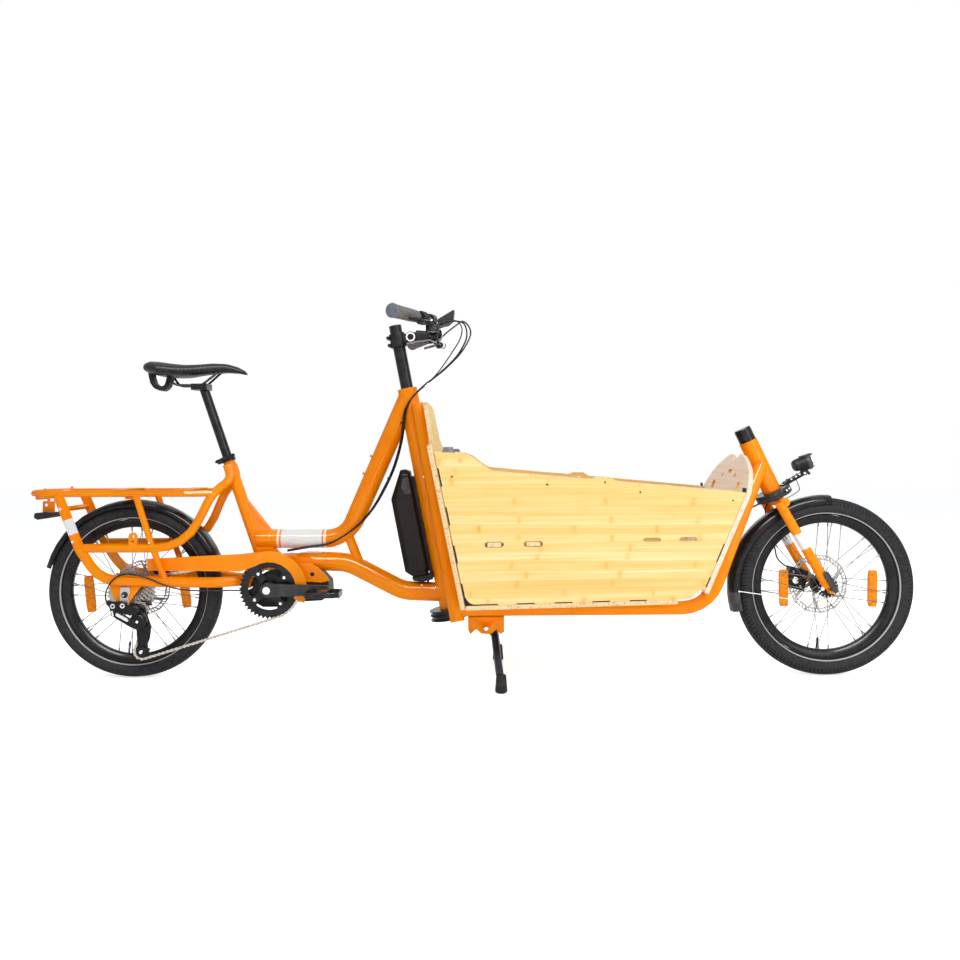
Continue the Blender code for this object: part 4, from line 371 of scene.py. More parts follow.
def tyre_rubber(name, hub, stripe_at, calm, crown_at):
    """Black tyre with a block tread near the crown, its grooves painted darker as shade, and a pale stripe on the side
    wall.
    """
    look = Recipe(name, 0.62)
    x, y, z = look.axes()
    dx, dz = x - hub.x * MM, z - hub.z * MM
    radius = look.math("SQRT", dx * dx + dz * dz)
    blocks = look.math("SINE", look.math("ARCTAN2", dz, dx) * BLOCKS_ROUND + look.math("ABSOLUTE", y) * BLOCK_SLANT)
    tread = (blocks > -0.45) * (look.math("SINE", y * GROOVES_ACROSS) > -0.72)
    crown = (radius > crown_at) * (1.0 - calm)
    rubber = look.ramp(look.noise(75.0), (0.3, (0.018, 0.018, 0.020)), (0.7, (0.034, 0.034, 0.037)))
    # Painted shade: the grooves between the tread blocks on the crown are darkened
    rubber = look.mix(crown * (1.0 - tread) * 0.75, rubber, (0.004, 0.004, 0.005))
    stripe = look.between(radius, stripe_at, stripe_at + STRIPE_WIDTH)
    look.color(look.mix(stripe, rubber, (0.50, 0.50, 0.49)))
    ribs = look.math("SINE", radius * SIDE_RIBS) * 0.12
    look.bump(crown * (tread + 0.2) + ribs, 0.0016, 0.9)
    return look.material


def brushed(name, color, rough=0.3):
    """Metal with fine lines."""
    look = Recipe(name, rough, 1.0)
    x, _, z = look.axes()
    lines = look.noise(1.0, 2.0, look.vector(x * 60.0, 0.0, z * 1400.0))
    look.color(look.ramp(lines, (0.3, tuple(c * 0.72 for c in color)), (0.7, color)))
    look.uneven(300.0, rough * 0.8, rough * 1.3)
    return look.material


PAINT = orange_paint("orange paint")
PAINT_STEP = orange_paint("orange paint with step tube bands", ((-573, -567), (-561, -443), (-438, -431)),
                          (0, 0, 0), (1, 0, 0), (-600, -400, 360, 440))
PAINT_STAY = orange_paint("orange paint with stay band", ((-24, 21),),
                          (-1140, 0, 445), (-0.36, 0, 1), (-1200, -1100, 380, 500))
PAINT_FORK = orange_paint("orange paint with fork band", ((140, 188),),
                          (1021.1, 0, 258), (-0.4812, 0, 1), (900, 1020, 300, 480))
BLACK_METAL = mottled("black anodised metal", (0.010, 0.010, 0.011), (0.022, 0.022, 0.024),
                      0.32, 0.35, 0.25, 40, 0.00003)
BLACK_GLOSS = mottled("black gloss paint", (0.008, 0.007, 0.007), (0.016, 0.014, 0.014), 0.28, 0.0, 0.2, 30)
GRAPHITE = mottled("graphite paint", (0.032, 0.034, 0.037), (0.048, 0.050, 0.054), 0.4, 0.2, 0.1, 40)
BLACK_PLASTIC = mottled("black moulded plastic", (0.014, 0.014, 0.015), (0.028, 0.028, 0.030),
                        0.48, 0.0, 0.0, 50, 0.00008, 1600)
GREY_PLASTIC = mottled("dark grey plastic", (0.045, 0.047, 0.050), (0.075, 0.078, 0.082),
                       0.42, 0.0, 0.1, 50, 0.00006, 1500)
BATTERY_CASE = mottled("battery case", (0.008, 0.0055, 0.005), (0.013, 0.009, 0.008), 0.42, 0.0, 0.1, 30)
HANGER_GREY = mottled("anodised hanger", (0.42, 0.38, 0.38), (0.52, 0.48, 0.47), 0.35, 0.6, 0.0, 60)
CABLE_BLACK = mottled("cable sheath", (0.008, 0.008, 0.009), (0.018, 0.018, 0.02), 0.35, 0.0, 0.2, 90)
GRIP_RUBBER = mottled("grip rubber", (0.150, 0.140, 0.132), (0.205, 0.192, 0.182), 0.7, 0.0, 0.0, 80, 0.00015, 1200)
GRIP_CAP = mottled("grip end cap", (0.125, 0.140, 0.160), (0.180, 0.200, 0.225), 0.45, 0.0, 0.1, 60)
SADDLE_COVER = mottled("saddle cover", (0.010, 0.010, 0.011), (0.024, 0.024, 0.026),
                       0.42, 0.0, 0.1, 45, 0.00025, 620)
STEEL = brushed("brushed steel", (0.62, 0.60, 0.58))
SILVER = mottled("silver", (0.55, 0.55, 0.56), (0.74, 0.74, 0.75), 0.22, 1.0, 0.0, 120)
ROTOR_STEEL = brushed("rotor steel", (0.40, 0.37, 0.345), 0.34)
STAY_STEEL = mottled("stay steel", (0.26, 0.26, 0.26), (0.38, 0.38, 0.38), 0.3, 1.0, 0.0, 90)
SPOKE_STEEL = mottled("spoke steel", (0.10, 0.10, 0.10), (0.22, 0.215, 0.21), 0.38, 0.9, 0.0, 220)
CHAIN_STEEL = mottled("chain steel", (0.26, 0.23, 0.20), (0.56, 0.52, 0.47), 0.28, 1.0, 0.0, 240)
COG_STEEL = mottled("cog steel", (0.20, 0.18, 0.165), (0.42, 0.385, 0.35), 0.3, 1.0, 0.0, 160)
AMBER = mottled("amber reflector", (0.74, 0.17, 0.0), (1.0, 0.33, 0.0), 0.3, 0.0, 0.2, 160, 0.0004, 420)
RED_LENS = mottled("red lens", (0.55, 0.01, 0.01), (0.75, 0.03, 0.02), 0.2, 0.0, 0.4, 160, 0.0003, 500)
CLEAR_LENS = mottled("headlight lens", (0.62, 0.66, 0.70), (0.85, 0.88, 0.90), 0.08, 0.35, 1.0, 140, 0.0004, 420)
SCREEN = mottled("display glass", (0.012, 0.014, 0.018), (0.03, 0.034, 0.04), 0.06, 0.0, 1.0, 25)
PAD_GREY = mottled("grey rubber pad", (0.17, 0.175, 0.185), (0.27, 0.27, 0.275), 0.6, 0.0, 0.0, 70)
# Brown of the wooden plugs, also put on the walls of the front panel's holes as painted shade
PLUG_BROWN_AND_HOLE_SHADE = mottled("wooden plug and painted hole shade", (0.80, 0.46, 0.13), (0.88, 0.56, 0.20), 0.5, 0.0, 0.1, 300)


# Mesh building


def together(solids):
    """The points and faces of several solids as one list of each."""
    points = []
    faces = []
    for more_points, more_faces in solids:
        start = len(points)
        points += [Vector(p) for p in more_points]
        faces += [tuple(i + start for i in face) for face in more_faces]
    return points, faces


def item(name, solids, material, body, sharp=35.0, node=None):
    """A piece of one material; with a node, it hides that node and stands in for it."""
    points, faces = together(solids)
    mesh = bpy.data.meshes.new(name)
    mesh.from_pydata([p * MM for p in points], [], faces)
    mesh.materials.append(material)
    work = bmesh.new()
    work.from_mesh(mesh)
    bmesh.ops.recalc_face_normals(work, faces=work.faces)
    work.to_mesh(mesh)
    work.free()
    mesh.shade_smooth()
    mesh.set_sharp_from_angle(angle=math.radians(sharp))
    piece = add_object(name, mesh)
    if body:
        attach(piece, body)
    if node:
        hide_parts(node)
    return piece


def bevelled(piece, width, segments=2, angle=38.0):
    """Soft edges of a width in millimetres, with even shading on the faces."""
    bevel = piece.modifiers.new("soft edges", "BEVEL")
    bevel.width = width * MM
    bevel.segments = segments
    bevel.limit_method = "ANGLE"
    bevel.angle_limit = math.radians(angle)
    bevel.harden_normals = False
    weighted = piece.modifiers.new("even shading", "WEIGHTED_NORMAL")
    weighted.keep_sharp = True


def basis(axis):
    axis = Vector(axis).normalized()
    across = Vector((1, 0, 0)) if abs(axis.x) < 0.9 else Vector((0, 0, 1))
    across = (across - across.dot(axis) * axis).normalized()
    return axis, across, axis.cross(across)


def skin(rings, around, closed=False, caps=True):
    """Quads over a row of rings, with a cap at each end unless the row closes on itself."""
    starts = [i * around for i in range(rings)]
    pairs = list(zip(starts, starts[1:]))
    if closed:
        pairs.append((starts[-1], 0))
    faces = [(a + k, a + (k + 1) % around, b + (k + 1) % around, b + k) for a, b in pairs for k in range(around)]
    if caps and not closed:
        faces += [tuple(range(around)), tuple(range(starts[-1], starts[-1] + around))]
    return faces


def ring(centre, across, up, radius, sides):
    turns = [math.tau * k / sides for k in range(sides)]
    return [centre + (across * math.cos(turn) + up * math.sin(turn)) * radius for turn in turns]


def turned(profile, centre, axis=(0, 1, 0), sides=32, closed=False):
    """A solid of revolution of (distance along the axis, radius) points."""
    axis, across, third = basis(axis)
    points = []
    for along, radius in profile:
        points += ring(Vector(centre) + axis * along, across, third, radius, sides)
    return points, skin(len(profile), sides, closed)


def both_sides(half):
    """A profile and its mirror image, for a turned shape that is the same on both sides."""
    return [(-along, radius) for along, radius in half] + half[::-1]


def tube(start, end, radius, sides=10, end_radius=None):
    start, end = Vector(start), Vector(end)
    profile = [(0, radius), ((end - start).length, radius if end_radius is None else end_radius)]
    return turned(profile, start, end - start, sides)


def prism(outline, origin, first, second, low, high):
    """A flat outline pushed from low to high along first x second."""
    origin, first, second = Vector(origin), Vector(first).normalized(), Vector(second).normalized()
    normal = first.cross(second)
    points = [origin + first * u + second * v + normal * depth for depth in (low, high) for u, v in outline]
    return points, skin(2, len(outline))


def plate(outline, low, high, origin=(0, 0, 0)):
    """A flat plate of an (X, Z) outline between two Y values."""
    return prism(outline, origin, (1, 0, 0), (0, 0, 1), -high, -low)


def box(centre, size, first=(1, 0, 0), second=(0, 0, 1)):
    a, b = size[0] / 2, size[2] / 2
    return prism([(-a, -b), (a, -b), (a, b), (-a, b)], centre, first, second, -size[1] / 2, size[1] / 2)


def ring_plate(outer, inner, centre, low, high):
    """Flat ring between two outlines of the same count, in (X, Z)."""
    rings = ((outer, low), (inner, low), (inner, high), (outer, high))
    points = [(centre[0] + x, y, centre[2] + z) for outline, y in rings for x, z in outline]
    return points, skin(4, len(outer), closed=True)


def polar(radius, degrees):
    return radius * math.cos(math.radians(degrees)), radius * math.sin(math.radians(degrees))


def arc(radius, start, step, count, x=0.0, z=0.0):
    """Points on an arc about (x, z), a step in degrees apart."""
    turns = [math.radians(start + step * k) for k in range(count)]
    return [(x + radius * math.cos(turn), z + radius * math.sin(turn)) for turn in turns]


def circle(radius, count, x=0.0, z=0.0, start=0.0):
    return arc(radius, start, 360 / count, count, x, z)


def fan(at, *corners):
    """An outline of (radius, turn) corners, turned on by at."""
    return [polar(radius, at + turn) for radius, turn in corners]


def about(hub, radius, degrees, y):
    """The point at a radius and turn about a hub's axis."""
    x, z = polar(radius, degrees)
    return hub + Vector((x, y, z))


def smooth_line(route, steps=6):
    points = [Vector(p) for p in route]
    ends = [points[0] * 2 - points[1]] + points + [points[-1] * 2 - points[-2]]
    line = []
    for a, b, c, d in zip(ends, ends[1:], ends[2:], ends[3:]):
        for k in range(steps):
            t = k / steps
            square = (2 * a - 5 * b + 4 * c - d) * t**2
            cube = (3 * b - a - 3 * c + d) * t**3
            line.append((2 * b + (c - a) * t + square + cube) / 2)
    line.append(points[-1])
    return line


def cable(route, radius, sides=8, steps=6):
    """A tube along a smooth route."""
    line = smooth_line(route, steps)
    points = []
    side = Vector((0, 1, 0))
    for i, at in enumerate(line):
        ahead = (line[min(i + 1, len(line) - 1)] - line[max(i - 1, 0)]).normalized()
        side = (side - side.dot(ahead) * ahead).normalized()
        points += ring(at, side, ahead.cross(side), radius, sides)
    return points, skin(len(line), sides)


def bolt(at, axis, radius, height=3.0, socket=True):
    """A round head with a hollow, on a surface point with its outward axis."""
    profile = [(-1.0, radius), (height * 0.6, radius), (height, radius * 0.8)]
    if socket:
        profile += [(height, radius * 0.5), (height * 0.35, radius * 0.45)]
    return turned(profile, at, axis, 16)


def bolt_pair(x, y, z, radius, height):
    return [bolt((x, side * y, z), (0, side, 0), radius, height) for side in SIDES]


# CAD nodes that stay


WELD = 0.00001
FLAT_ANGLE = 0.6


def keep_node(name, material, width):
    """A node in its material, welded, with edges softened by a width in millimetres."""
    node = NODES[name]
    mesh = node.data
    if "custom_normal" in mesh.attributes:
        mesh.attributes.remove(mesh.attributes["custom_normal"])
    mesh.shade_smooth()
    mesh.materials.clear()
    mesh.materials.append(material)
    weld = node.modifiers.new("weld", "WELD")
    weld.merge_threshold = WELD
    if width:
        flat = node.modifiers.new("flat faces", "DECIMATE")
        flat.decimate_type = "DISSOLVE"
        flat.angle_limit = math.radians(FLAT_ANGLE)
        bevelled(node, width)


def paint_faces(name, material, chosen):
    """Gives a second material to the faces of a node that the test picks by centre (mm) and normal."""
    mesh = NODES[name].data
    mesh.materials.append(material)
    last = len(mesh.materials) - 1
    for face in mesh.polygons:
        if chosen(face.center / MM, face.normal):
            face.material_index = last


# The width of the softened edges of each node, by material
KEPT = (
    (PAINT_STEP, {"main_frame": 1.2}),
    (PAINT_STAY, {"rear_frame": 0.9}),
    (PAINT_FORK, {"fork": 1.0}),
    (PAINT, {"cargo_frame": 1.2, "motor_cover": 2.0, "chain_guard": 0.6, "stand_bracket": 0.0}),
    (BLACK_METAL, {
        "mast": 0.6, "front_pulley": 0.6, "stem": 1.0, "handlebar": 0.8, "seatpost": 0.8, "seat_collar": 0.6,
        "seat_lever": 0.6, "rear_axle": 0.4, "front_caliper": 1.5, "rear_caliper": 1.5, "brake_lever_near": 0.0,
        "brake_lever_far": 0.0, "stand_legs": 0.8,
    }),
    (GRAPHITE, {"crank_arm_near": 1.6, "crank_arm_far": 1.6}),
    (GREY_PLASTIC, {"front_axle": 0.8}),
    (BLACK_GLOSS, {"derailleur": 0.8, "rear_fender": 0.0, "front_fender": 0.0}),
    (BLACK_PLASTIC, {
        "motor": 2.0, "battery_dock": 1.5, "shift_lever": 0.5, "tail_light": 1.2, "upper_jockey": 0.0,
        "lower_jockey": 0.0,
    }),
    (CABLE_BLACK, {"steering_cable": 0.0}),
)


def keep_nodes():
    for material, widths in KEPT:
        for name, width in widths.items():
            keep_node(name, material, width)
    stub = FRONT_PULLEY + HEAD_UP * 172.5
    paint_faces("fork", BLACK_METAL, lambda at, normal: (at - stub).dot(HEAD_UP) > 0)
    paint_faces("stand_legs", BLACK_PLASTIC, lambda at, normal: at.z < 48)
    paint_faces("tail_light", RED_LENS, lambda at, normal: normal.x < -0.3 or (normal.z < -0.5 and at.x < -1240))
    paint_faces("battery_dock", PAD_GREY, lambda at, normal: at.z > 330)
    paint_faces("front_fender", GREY_PLASTIC, lambda at, normal: at.z < 249 and at.x < 780)


def keep_panels():
    side = bamboo("bamboo side", 0, 2)
    inner = bamboo("bamboo inner face painted shade", 0, 2, SHADED)
    cross = bamboo("bamboo end", 1, 2)
    front = bamboo("bamboo front", 1, 2, PINKISH, 0.1)
    flat = bamboo("bamboo floor", 0, 1)
    edge_y = ply_edge("ply edge across", 1)
    edge_x = ply_edge("ply edge along", 0)
    edge_front = ply_edge("ply edge front", 0, 0.5)
    edge_z = ply_edge("ply edge flat", 2)
    ahead = Vector((1, 0, -FRONT_LEAN)).normalized()
    for name, material, edge, axis in (
        ("side_panel_near", side, edge_y, Vector((-0.145, -1, 0.2))),
        ("side_panel_far", side, edge_y, Vector((-0.145, 1, 0.2))),
        ("back_panel", cross, edge_x, Vector((1, 0, 0.19))),
        ("front_panel", front, edge_front, ahead),
        ("floor_panel", flat, edge_z, Vector((0, 0, 1))),
        ("bench", flat, edge_z, Vector((0, 0, 1))),
    ):
        keep_node(name, material, 0.7)
        paint_faces(name, edge, lambda at, normal, axis=axis.normalized(): abs(normal.dot(axis)) < 0.7)
    # Painted shade: the walls of the holes in the front panel are painted in the plugs' brown
    paint_faces("front_panel", PLUG_BROWN_AND_HOLE_SHADE,
                lambda at, normal: abs(normal.dot(ahead)) < 0.7 and 540 < at.z < 612 and abs(at.y) < 141)
    # The inner faces of the side panels get the darker bamboo as painted shade
    paint_faces("side_panel_near", inner, lambda at, normal: normal.y > 0.7)
    paint_faces("side_panel_far", inner, lambda at, normal: normal.y < -0.7)


# Wheels


BEAD = 209.6
TYRE_HALF = [(13.0, 209.6), (17.5, 211.5), (22.5, 216), (25.6, 223), (26.9, 231), (26.6, 239), (24.2, 246.4),
             (19.5, 252.2), (13.0, 255.9), (6.5, 257.6)]
RIM_HALF = [(12.6, 202.0), (13.0, 208.8), (15.5, 208.8), (15.5, 203.0), (12.6, 196.0), (9.0, 187.5), (6.0, 185.2)]
HUB_HALF = [(44.5, 7.0), (44.5, 12.5), (34.5, 13.0), (31.5, 20.0), (31.5, 29.5), (27.0, 29.5), (23.5, 20.0),
            (14.5, 15.0)]
FLANGE = 29.0
# Radius of the pale stripe, how calm the tread is, and the radius where it starts
TREAD = {"front": (0.2128, 0.0, 0.2375), "rear": (0.2118, 0.6, 0.234)}
REFLECTORS = {
    "front": (("rear", -118, -5, 0.0), ("fore", 142, -8, 1.0)),
    "rear": (("rear", -135, -10, -5.6), ("fore", 142, 2, -8.0)),
}


def make_wheel(place, hub, rotor_y, rotor_radius):
    """Tyre, rim, laced spokes, hub, brake disc, valve and reflectors."""
    body = place + "_wheel"
    swell = (hub.z - BEAD) / (FRONT_HUB.z - BEAD)
    half_tyre = [(y, BEAD + (r - BEAD) * swell) for y, r in TYRE_HALF]
    profile = [(-y, r) for y, r in half_tyre] + [(0, hub.z)] + half_tyre[::-1] + [(0, 213.0)]
    item(place + "_tyre_detail", [turned(profile, hub, sides=144, closed=True)],
         tyre_rubber(place + " tyre rubber", hub, *TREAD[place]), body, 50, place + "_tyre")
    rim = turned(both_sides(RIM_HALF), hub, sides=144, closed=True)
    item(place + "_rim_detail", [rim], BLACK_GLOSS, body, 60, place + "_rim")
    spokes = []
    nipples = []
    heads = []
    for side in SIDES:
        for k in range(16):
            at = 22.5 * k + (11.25 if side > 0 else 0)
            lean, step = (52, 1.6) if k % 2 else (-52, -1.6)
            start = about(hub, 25.5, at, side * (FLANGE + step))
            end = about(hub, 186.5, at + lean, side * 3.5)
            spokes.append(tube(start, end, 1.0, 6))
            nipples.append(tube(end + (start - end).normalized() * 13, end, 2.0, 8))
            heads.append(bolt(about(hub, 26.0, at, side * (FLANGE + 2.7)), (0, side, 0), 1.9, 1.2, False))
    item(place + "_spokes", spokes + nipples, SPOKE_STEEL, body, 50)
    shell = turned(both_sides(HUB_HALF), hub, sides=48, closed=True)
    item(place + "_hub_shell", [shell], BLACK_METAL, body, 30, place + "_hub")
    make_rotor(place, hub, rotor_y, rotor_radius, body)
    foot, top, cap_foot, cap_top = (about(hub, radius, -97, 0) for radius in (186, 160, 162, 152))
    item(place + "_valve", [tube(foot, top, 3.0, 8), tube(cap_foot, cap_top, 4.2, 8, 3.2)], BLACK_PLASTIC, body)
    item(place + "_spoke_heads", heads, SILVER, body)
    for name, x, z, lean in REFLECTORS[place]:
        make_reflector("%s_reflector_%s" % (place, name), hub + Vector((x, 0, z)), lean, body)


def make_reflector(name, centre, lean, body):
    """An upright amber plate with cut corners, clipped between the spokes."""
    up = Vector((math.sin(math.radians(lean)), 0, math.cos(math.radians(lean))))
    along = Vector((up.z, 0, -up.x))
    outline = [(-13, -36), (-10.5, -53), (10.5, -53), (13, -36), (13, 36), (10.5, 53), (-10.5, 53), (-13, 36)]
    rim = prism(outline, centre, along, up, -4.5, 4.5)
    inner = [(u * 0.8, v * 0.92) for u, v in outline]
    lens = [prism(inner, centre, along, up, side * 4.6 - 0.5, side * 4.6 + 0.5) for side in SIDES]
    bars = [box(centre + up * lift, (22.5, 10.6, 2.0), along, up) for lift in (-18, 18)]
    bevelled(item(name, [rim, *lens, *bars], AMBER, body, 40), 0.8)


ROTOR_HALF = 0.9


def make_rotor(place, hub, y, radius, body):
    """A brake disc of two bands joined by slanted webs, on six arms."""
    low, high = y - ROTOR_HALF, y + ROTOR_HALF

    def wavy(middle, swing):
        return [polar(middle + swing * math.sin(math.radians(30 * k)), 2.5 * k) for k in range(144)]

    solids = [ring_plate(wavy(radius - 1.2, 1.2), circle(radius - 5.0, 144), hub, low, high),
              ring_plate(circle(radius - 12.0, 144), wavy(radius - 15.5, 1.0), hub, low, high)]
    for k in range(48):
        wide = 2.4 if k % 4 == 0 else 1.1
        inner, outer = radius - 12.6, radius - 4.4
        web = fan(k * 7.5, (inner, -wide), (inner, wide), (outer, wide + 5), (outer, 5 - wide))
        solids.append(plate(web, low, high, hub))
    for k in range(6):
        arm = fan(k * 60, (24, -12), (24, 12), (46, 21), (radius - 15, 33), (radius - 15, 25), (46, 8))
        solids.append(plate(arm, low, high, hub))
    solids.append(ring_plate(circle(26.5, 36), circle(21.0, 36), hub, low, high))
    item(place + "_rotor_detail", solids, ROTOR_STEEL, body, 30, place + "_rotor")
    heads = [bolt(about(hub, 23.7, 30 + 60 * k, y + 0.6), (0, 1, 0), 3.0, 2.0) for k in range(6)]
    item(place + "_rotor_bolts", heads, BLACK_METAL, body)


# Drive train


CHAIN_PITCH = 12.7
RING_TEETH = 42
RING_BOLTS = (37, 127, 217, 307)
COGS = (11, 13, 15, 17, 20, 23, 26, 30, 34)
COG_SPACING = 3.95
CHAIN_COG = 2
JOCKEY_TEETH = 11
PEDALS = (("near", Vector((-415, -150, 264))), ("far", Vector((-755, 150, 264))))


def pitch_radius(teeth):
    return teeth * CHAIN_PITCH / math.tau


def toothed(teeth, tip, root, shift=0.0):
    step = 360 / teeth
    half = (tip + root) / 2
    tooth = ((-0.40, root), (-0.2, half), (-0.09, tip), (0.09, tip), (0.2, half), (0.40, root))
    return [polar(radius, (k + offset) * step + shift) for k in range(teeth) for offset, radius in tooth]


def make_chainring():
    low, high = CHAIN_Y - 1.1, CHAIN_Y + 1.1
    pitch = pitch_radius(RING_TEETH)
    outer = toothed(RING_TEETH, pitch + 2.6, pitch - 3.8)
    solids = [ring_plate(outer, circle(66.0, len(outer)), CRANK, low, high),
              ring_plate(circle(79.0, 120), circle(60.0, 120), CRANK, low - 2.8, low - 1.2),
              turned([(low - 4.0, 11.8), (low - 4.0, 26), (high, 26), (high, 11.8)], CRANK, sides=36, closed=True)]
    heads = []
    for at in RING_BOLTS:
        arm = fan(at, (20, -40), (20, 40), (34, 17), (50, 11), (64, 16), (64, -16), (50, -11), (34, -17))
        solids.append(plate(arm, low - 4.0, low + 1.0, CRANK))
        heads.append(bolt(about(CRANK, 52.5, at, low - 3.8), (0, -1, 0), 4.6, 2.0))
    item("chainring_detail", solids, BLACK_METAL, "cranks", 30, "chainring")
    item("chainring_bolts", heads, SILVER, "cranks")
    cap = [(-1.0, 10.5), (1.2, 10.5), (1.2, 6.5), (3.4, 6.0), (3.4, 3.2), (1.0, 3.0)]
    item("crank_bolt", [turned(cap, CRANK + Vector((0, -100.2, 0)), (0, -1, 0), 24)], SILVER, "cranks")


def make_pedals():
    """Cage pedals: a barrel on the axle inside a frame of thin plates with teeth."""
    for name, centre in PEDALS:
        solids = [box(centre, (25, 62, 17)), box(centre, (12, 86, 10))]
        for end in SIDES:
            solids.append(box(centre + Vector((end * 45.5, 0, 0)), (3, 64, 15)))
            solids.append(box(centre + Vector((0, end * 43, 0)), (60, 3, 13)))
            for tip in SIDES:
                corner = centre + Vector((end * 38, tip * 37.5, 0))
                solids.append(box(corner, (21, 3, 13), Vector((end * 0.86, -tip * 0.6, 0)), (0, 0, 1)))
            for k in range(6):
                for lift in (8.3, -8.3):
                    solids.append(box(centre + Vector((end * 45.5, -25 + 10 * k, lift)), (3, 4, 3)))
        pedal = item("pedal_cage_" + name, solids, BLACK_METAL, name + "_pedal", 40, "pedal_" + name)
        bevelled(pedal, 0.7)


def make_cassette():
    solids = []
    for i, teeth in enumerate(COGS):
        y = CHAIN_Y + COG_SPACING * (i - CHAIN_COG)
        outer = toothed(teeth, pitch_radius(teeth) + 1.8, pitch_radius(teeth) - 3.6, 4 * i)
        inner = max(14.2, pitch_radius(teeth) - 15)
        solids.append(ring_plate(outer, circle(inner, len(outer), start=4 * i), REAR_HUB, y - 0.8, y + 0.8))
        if inner > 20:
            for k in range(6):
                arm = fan(k * 60 + 20, (15, -16), (15, 16), (inner + 1, 7), (inner + 1, -7))
                solids.append(plate(arm, y - 0.8, y + 0.8, REAR_HUB))
    near = CHAIN_Y - COG_SPACING * CHAIN_COG
    far = CHAIN_Y + COG_SPACING * (len(COGS) - 1 - CHAIN_COG)
    sleeve = [(near - 1.8, 14.2), (near - 1.8, 19.0), (near - 0.8, 19.0), (far, 19.0), (far, 14.2)]
    solids.append(turned(sleeve, REAR_HUB, sides=36, closed=True))
    item("cassette_detail", solids, COG_STEEL, "freewheel", 30, "cassette")


def belt_line(wheels):
    """Closed pitch line round (centre, radius, sense) wheels."""
    count = len(wheels)
    headings = []
    for i in range(count):
        (x0, z0), r0, s0 = wheels[i]
        (x1, z1), r1, s1 = wheels[(i + 1) % count]
        distance = math.hypot(x1 - x0, z1 - z0)
        headings.append(math.atan2(z1 - z0, x1 - x0) + math.asin((s0 * r0 - s1 * r1) / distance))
    line = []
    for i in range(count):
        (x, z), radius, sense = wheels[i]
        turn = (headings[i] - headings[i - 1]) * sense % math.tau
        steps = max(6, round(turn / 0.04))
        for k in range(steps + 1):
            heading = headings[i - 1] + sense * turn * k / steps
            line.append(Vector((x + sense * radius * math.sin(heading), 0, z - sense * radius * math.cos(heading))))
    return line


def spaced(line, pitch):
    """Points one pitch apart round a closed line, the pitch stretched to close it."""
    closed = line + [line[0]]
    lengths = [0.0]
    for a, b in zip(closed, closed[1:]):
        lengths.append(lengths[-1] + (b - a).length)
    count = 2 * round(lengths[-1] / pitch / 2)
    points = []
    i = 0
    for k in range(count):
        want = lengths[-1] * k / count
        while lengths[i + 1] < want:
            i += 1
        share = (want - lengths[i]) / max(1e-6, lengths[i + 1] - lengths[i])
        points.append(closed[i].lerp(closed[i + 1], share))
    return points


def link_outline(length, end, waist):
    """A waisted side plate."""
    outline = []
    for way, start in ((1, -120), (-1, 60)):
        outline += arc(end, start, 30, 9, way * length / 2)
        outline.append((0, way * waist))
    return outline


def make_chain():
    line = belt_line([
        ((CRANK.x, CRANK.z), pitch_radius(RING_TEETH), 1), ((-989.3, 258), pitch_radius(COGS[CHAIN_COG]), 1),
        ((-956, 203), pitch_radius(JOCKEY_TEETH), -1), ((-949, 86), pitch_radius(JOCKEY_TEETH), 1),
    ])
    pins = spaced(line, CHAIN_PITCH)
    solids = []
    for i, pin in enumerate(pins):
        along = pins[(i + 1) % len(pins)] - pin
        up = Vector((0, 1, 0)).cross(along)
        waist_end, depth = (4.1, 2.35) if i % 2 == 0 else (3.9, 1.35)
        outline = link_outline(along.length, waist_end, 2.6)
        for side in SIDES:
            centre = pin + along / 2 + Vector((0, CHAIN_Y + side * depth, 0))
            solids.append(prism(outline, centre, along, up, -0.42, 0.42))
        pivot = pin + Vector((0, CHAIN_Y, 0))
        solids.append(turned([(-3.0, 1.8), (3.0, 1.8)], pivot, sides=8))
        solids.append(turned([(-1.3, 3.6), (1.3, 3.6)], pivot, sides=10))
    item("chain_links", solids, CHAIN_STEEL, "frame", 30, "chain")


# Saddle and grips


SADDLE_SECTIONS = (
    (-955, 904, 893, 33), (-948, 914, 886, 52), (-932, 919, 880, 68), (-905, 917, 874, 80),
    (-870, 912, 872, 76), (-837, 909, 872, 60), (-800, 911, 877, 41), (-760, 915, 882, 28),
    (-720, 913, 885, 23), (-688, 903, 883, 20), (-670, 892, 880, 15), (-664, 885, 879, 8),
)


def section_at(x):
    for a, b in zip(SADDLE_SECTIONS, SADDLE_SECTIONS[1:]):
        if x <= b[0]:
            t = (x - a[0]) / (b[0] - a[0])
            return [a[k] + (b[k] - a[k]) * t for k in range(4)]
    return list(SADDLE_SECTIONS[-1])


SADDLE_STATIONS = 44
SADDLE_AROUND = 28
HANDLE_OUTER = [(-949, 891), (-946, 873), (-942, 856), (-935, 845), (-928, 839), (-916, 834), (-905, 832.5),
                (-895, 838), (-888, 847), (-882, 866), (-878, 886)]
HANDLE_INNER = [(-936, 888), (-934, 873), (-930, 860), (-926, 853), (-921, 849), (-914, 847), (-906, 847),
                (-901, 850), (-898, 856), (-895, 868), (-892, 886)]


def saddle_section(share):
    """One ring of the saddle's shell, at a share of its length."""
    first, last = SADDLE_SECTIONS[0][0], SADDLE_SECTIONS[-1][0]
    x = first + (last - first) * share
    _, high, low, half = section_at(x)
    tall = (high - low) / 2
    points = []
    for k in range(SADDLE_AROUND):
        turn = math.tau * k / SADDLE_AROUND
        c, s = math.cos(turn), math.sin(turn)
        y = half * math.copysign(abs(c) ** 0.62, c)
        z = (high + low) / 2 + tall * math.copysign(abs(s) ** 0.75, s)
        if s > 0:
            z -= math.exp(-((y / (0.32 * half + 4)) ** 2)) * 3.2 * math.sin(math.pi * share) ** 0.7
            z -= 0.10 * (abs(y) / max(half, 1)) ** 2 * tall * 2
        points.append((x, y, z))
    return points


